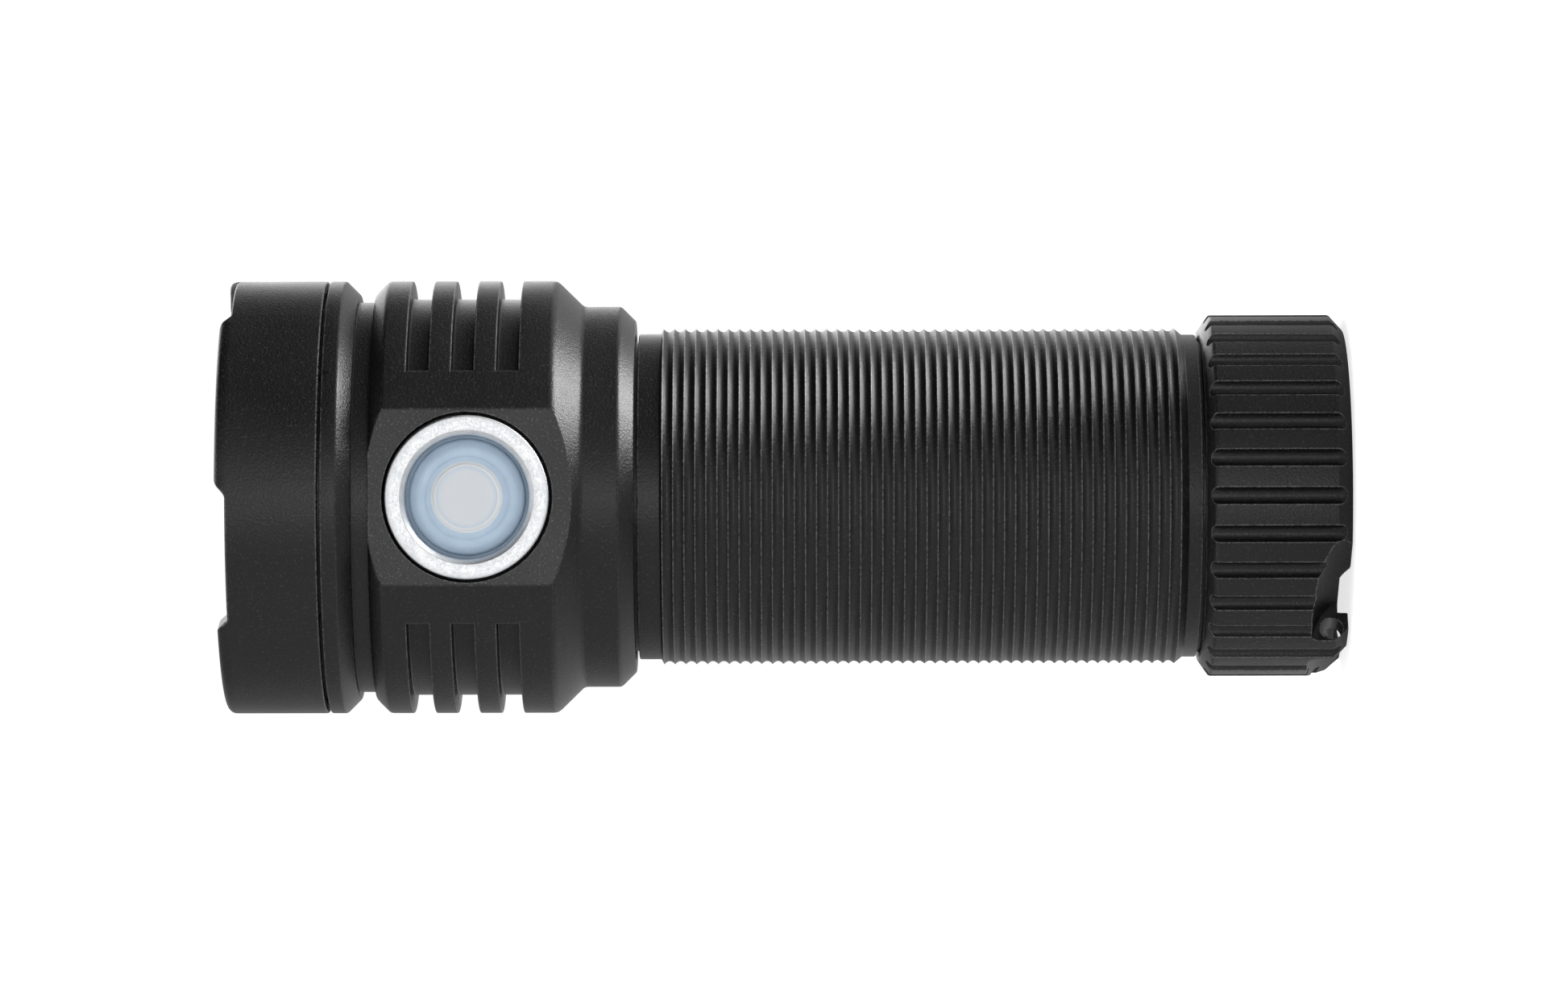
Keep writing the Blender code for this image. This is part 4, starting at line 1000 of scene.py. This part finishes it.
# %% Reflector
reflector_low, reflector_high = box_of("reflector")
depth = reflector_high.z - reflector_low.z
cup_radius, cup_offset, throat, cup_steps = 7.015, 7.265, 3.2, 16
cup_outline = [(0, reflector_low.z - 1), (throat, reflector_low.z - 1)]
for part in range(cup_steps + 1):
    share = part / cup_steps
    radius_here = math.sqrt(throat**2 + (cup_radius**2 - throat**2) * share)
    cup_outline.append((radius_here, reflector_low.z + depth * share))
cup_outline += [(cup_radius, reflector_high.z + 1), (0, reflector_high.z + 1)]
cups = four_copies(turned("cups", cup_outline, 72), FINISHES["mirror_aluminium"])
disc_outline = soften([(0, reflector_high.z), (reflector_high.x, reflector_high.z, 0.15),
                       (reflector_high.x, reflector_low.z, 0.2), (0, reflector_low.z)])
room_radius, room_depth = 4.2, 1.3
room_start, room_end = (reflector_low.z - 1) * mm, (reflector_low.z + room_depth) * mm
wire_room = rod("wire room", room_radius, (0, 0, room_start), (0, 0, room_end), 48)
reflector = cut(turned("reflector_cups", disc_outline, 128), cups, wire_room)
hand_over(reflector, "mirror_aluminium", "light_body", ["reflector"], smooth=30)

# %% [markdown]
# ## Emitters
# Each emitter is a square ceramic base with a yellow phosphor patch under a clear silicone dome.
# Each of the three is made once and copied to the four places, as its own piece, because their
# materials differ.

# %% Emitters
led_low, led_high = box_of("led_1")
base_top = led_low.z + 0.7
DOME = grained("clear dome", ((0.99, 0.95, 0.80), (0.98, 0.93, 0.74)), (0.02, 0.07), 800, 0.001,
               Transmission_Weight=0.85, IOR=1.41)


def square_plate(name, half, low, high, edge):
    """A square plate with cut corners and a broken top edge."""
    corner = [(half, half - edge), (half - edge, half)]
    quarter_turns = ((1, 0, 0, 1), (0, -1, 1, 0), (-1, 0, 0, -1), (0, 1, -1, 0))
    around = [(x * a + y * b, x * c + y * d) for a, b, c, d in quarter_turns for x, y in corner]
    shrink = 1 - 0.5 * edge / half
    columns = []
    for x, y in around:
        section = [(0, 0, low), (x, y, low), (x, y, high - edge / 3),
                   (x * shrink, y * shrink, high), (0, 0, high)]
        columns.append([Vector(point) * mm for point in section])
    return from_columns(name, columns)


bases = square_plate("led_bases", 2.5, led_low.z, base_top, 0.22)
bases = four_copies(bases, FINISHES["white_plastic"])
hand_over(bases, "white_plastic", "light_body", ["led_1", "led_2"])
patches = square_plate("led_phosphors", 1.75, base_top + 0.02, base_top + 0.14, 0.1)
patches = four_copies(patches, FINISHES["led_phosphor"])
hand_over(patches, "led_phosphor", "light_body", ["led_3"])
dome_outline = [(0, base_top + 0.2), (2.25, base_top + 0.2), (2.3, base_top + 0.02 + 0.2)]
for part in range(1, 12):
    turn = math.pi / 2 * part / 12
    dome_outline.append((2.3 * math.cos(turn), base_top + 0.2 + 1.5 * math.sin(turn)))
dome_outline.append((0, led_high.z))
domes = four_copies(turned("led_domes", dome_outline, 48), DOME)
hand_over(domes, "led_phosphor", "light_body", ["led_4"], DOME)

# %% [markdown]
# ## Tail spring
# The spring is a wire that follows a cone-shaped spiral. Geometry Nodes draw the spiral from its
# turns, its two radii and its height, and sweep the wire along it.

# %% Tail spring
sizes = dict.fromkeys(("Turns", "Base radius", "Tip radius", "Rise", "Wire radius"), "Float")
spring_tree, wanted = new_tree("cone spring", sizes | {"Base": "Vector", "Material": "Material"})
coil = {"Resolution": 40, "Rotations": wanted["Turns"], "Start Radius": wanted["Base radius"],
        "End Radius": wanted["Tip radius"], "Height": wanted["Rise"]}
spiral = step(spring_tree, "GeometryNodeCurveSpiral", coil).outputs[0]
wire = {"Resolution": 12, "Radius": wanted["Wire radius"]}
section = step(spring_tree, "GeometryNodeCurvePrimitiveCircle", wire).outputs[0]
sweep = {"Curve": spiral, "Profile Curve": section, "Fill Caps": True}
swept = step(spring_tree, "GeometryNodeCurveToMesh", sweep).outputs[0]
lift = {"Geometry": swept, "Translation": wanted["Base"]}
raised = step(spring_tree, "GeometryNodeTransform", lift).outputs[0]
end_tree(spring_tree, raised, wanted["Material"])
spring_low, spring_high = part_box("tail_spring")
wire_radius = 0.4 * mm
spring = from_shape("tail_coil", bmesh.new())
run_tree(spring, spring_tree, {
    "Turns": 4.5, "Base radius": 5.6 * mm, "Tip radius": 3.8 * mm, "Wire radius": wire_radius,
    "Rise": spring_high.z - spring_low.z - 2 * wire_radius,
    "Base": (0.0, 0.0, spring_low.z + wire_radius), "Material": FINISHES["steel"]})
settle(spring)
hand_over(spring, "steel", "tail_cap_unit", ["tail_spring"])

# %% [markdown]
# ## Finishes for the CAD pieces that stay
# The boards, screws, wires, cell and the rest are the right shape already. Each one takes the
# finish that the record names for it.

# %% Dress the other nodes
kept = 0
for row in frame["record"]["subparts"]:
    node = frame["nodes"][row["node"]]
    if not node.hide_render:
        node.data.materials.clear()
        node.data.materials.append(FINISHES[row["material_slot"]])
        kept += 1
print(kept, "CAD nodes keep their shape and take a finish")

# %% [markdown]
# ## Floor, light and camera
# A plain pale floor and a bright, even surround give the satin black its long, soft reflections.
# A dark flag on one side leaves a black band there, and a bright strip behind draws that side's
# rim. A softbox in front lights the facet, and two small ones low beside the tail pick out the
# grip rings and the chamfers that face it.

# %% Floor
floor_shape = bmesh.new()
bmesh.ops.create_circle(floor_shape, cap_ends=True, segments=96, radius=6.0)
floor = from_shape("studio_floor", floor_shape)
floor.location.z = -0.2 * mm
floor_paint, tree, shader, coordinates = new_finish("pale floor", Roughness=0.9)
shader.inputs["Emission Color"].default_value = (1, 1, 1, 1)
seen = step(tree, "ShaderNodeLightPath").outputs["Is Camera Ray"]
GLOW_ON_PIECES, GLOW_IN_VIEW = 0.15, 0.75
glow = between(tree, seen, GLOW_ON_PIECES, GLOW_IN_VIEW, 0.0, 1.0)
tree.links.new(glow, shader.inputs["Emission Strength"])
paint = blend(tree, noise(tree, coordinates, 40), (0.78, 0.78, 0.78), (0.80, 0.80, 0.80))
tree.links.new(paint, shader.inputs["Base Color"])
floor.data.materials.append(floor_paint)
print("floor laid")

# %% Surround
# The surround's strength follows the compass direction: even grey, a dark flag, and a bright
# strip behind.
bpy.context.scene.view_settings.view_transform = "Standard"
world = bpy.data.worlds.new("studio")
bpy.context.scene.world = world
world.use_nodes = True
tree = world.node_tree
tree.nodes.clear()
direction = step(tree, "ShaderNodeTexCoord").outputs["Generated"]
ways = step(tree, "ShaderNodeSeparateXYZ", {0: direction}).outputs
sky = partial(maths, tree)
compass = sky("ARCTAN2", ways["X"], sky("MULTIPLY", ways["Y"], -1.0))


def strip(middle, inner, outer, inside, outside):
    """A strength that changes between two angles, in degrees, beside a compass direction."""
    apart = sky("ABSOLUTE", sky("SUBTRACT", compass, math.radians(middle)))
    return between(tree, apart, inside, outside, math.radians(inner), math.radians(outer))


EVEN, FLAG, BACKLIGHT, OVERHEAD = 0.70, 0.02, 2.1, 0.9
shaded = strip(82, 44, 60, FLAG, 1.0)
flagged = sky("MULTIPLY", shaded, strip(-125, 20, 60, 0.5 * EVEN, EVEN))
lit = sky("ADD", flagged, strip(170, 8, 26, BACKLIGHT, 0.0))
lit = sky("ADD", lit, between(tree, ways["Z"], 0.0, OVERHEAD, 0.90, 0.97))
surround = step(tree, "ShaderNodeBackground", {"Color": (1, 1, 1, 1), "Strength": lit}).outputs[0]
backdrop = step(tree, "ShaderNodeBackground", {"Color": (1, 1, 1, 1), "Strength": 1.0}).outputs[0]
seen = step(tree, "ShaderNodeLightPath").outputs["Is Camera Ray"]
mixed = step(tree, "ShaderNodeMixShader", {0: seen, 1: surround, 2: backdrop}).outputs[0]
step(tree, "ShaderNodeOutputWorld", {"Surface": mixed})
print("surround has", len(tree.nodes), "nodes")


# %% Soft lights
def softbox(name, turn, distance, height, size, power, aim=55, twist=0, spread=180):
    """Angles in degrees, turn and twist from -Y towards +X. Distances in mm, power in watts.
    With no aim it faces up."""
    data = bpy.data.lights.new(name, "AREA")
    data.shape = "RECTANGLE"
    data.size, data.size_y = size[0] * mm, size[1] * mm
    data.energy = power
    data.spread = math.radians(spread)
    light = bpy.data.objects.new(name, data)
    bpy.context.scene.collection.objects.link(light)
    light.location = at(math.radians(turn), distance, height)
    towards = Vector((0, 0, aim * mm)) - light.location if aim else Vector((0, 0, 1))
    facing = towards.to_track_quat("-Z", "Y").to_matrix()
    light.rotation_euler = (Matrix.Rotation(math.radians(twist), 3, "Z") @ facing).to_euler()
    light.visible_camera = False


softbox("front softbox", 0, 760, 60, (200, 200), 0.55)
softbox("low softbox", 95, 48, 2, (50, 26), 0.045, aim=None, twist=53, spread=125)
softbox("far low softbox", 77, 88, 2, (48, 40), 0.10, aim=None, spread=125)
print("three soft lights in a bright surround")

# %% Camera
camera_data = bpy.data.cameras.new("camera")
camera_data.lens = 172
camera_data.sensor_width = 36
camera_data.clip_start = 0.01
camera = bpy.data.objects.new("camera", camera_data)
bpy.context.scene.collection.objects.link(camera)
right, up, back = Vector((0, 0, -1)), Vector((1, 0, 0)), Vector((0, -1, 0))
facing_object = Matrix((right, up, back)).transposed().to_4x4()
tilt = Matrix.Rotation(math.radians(-0.12), 4, "Z")
camera.matrix_world = Matrix.Translation((0.0003, -0.7375, 0.0548)) @ facing_object @ tilt
bpy.context.scene.camera = camera
print("camera placed")
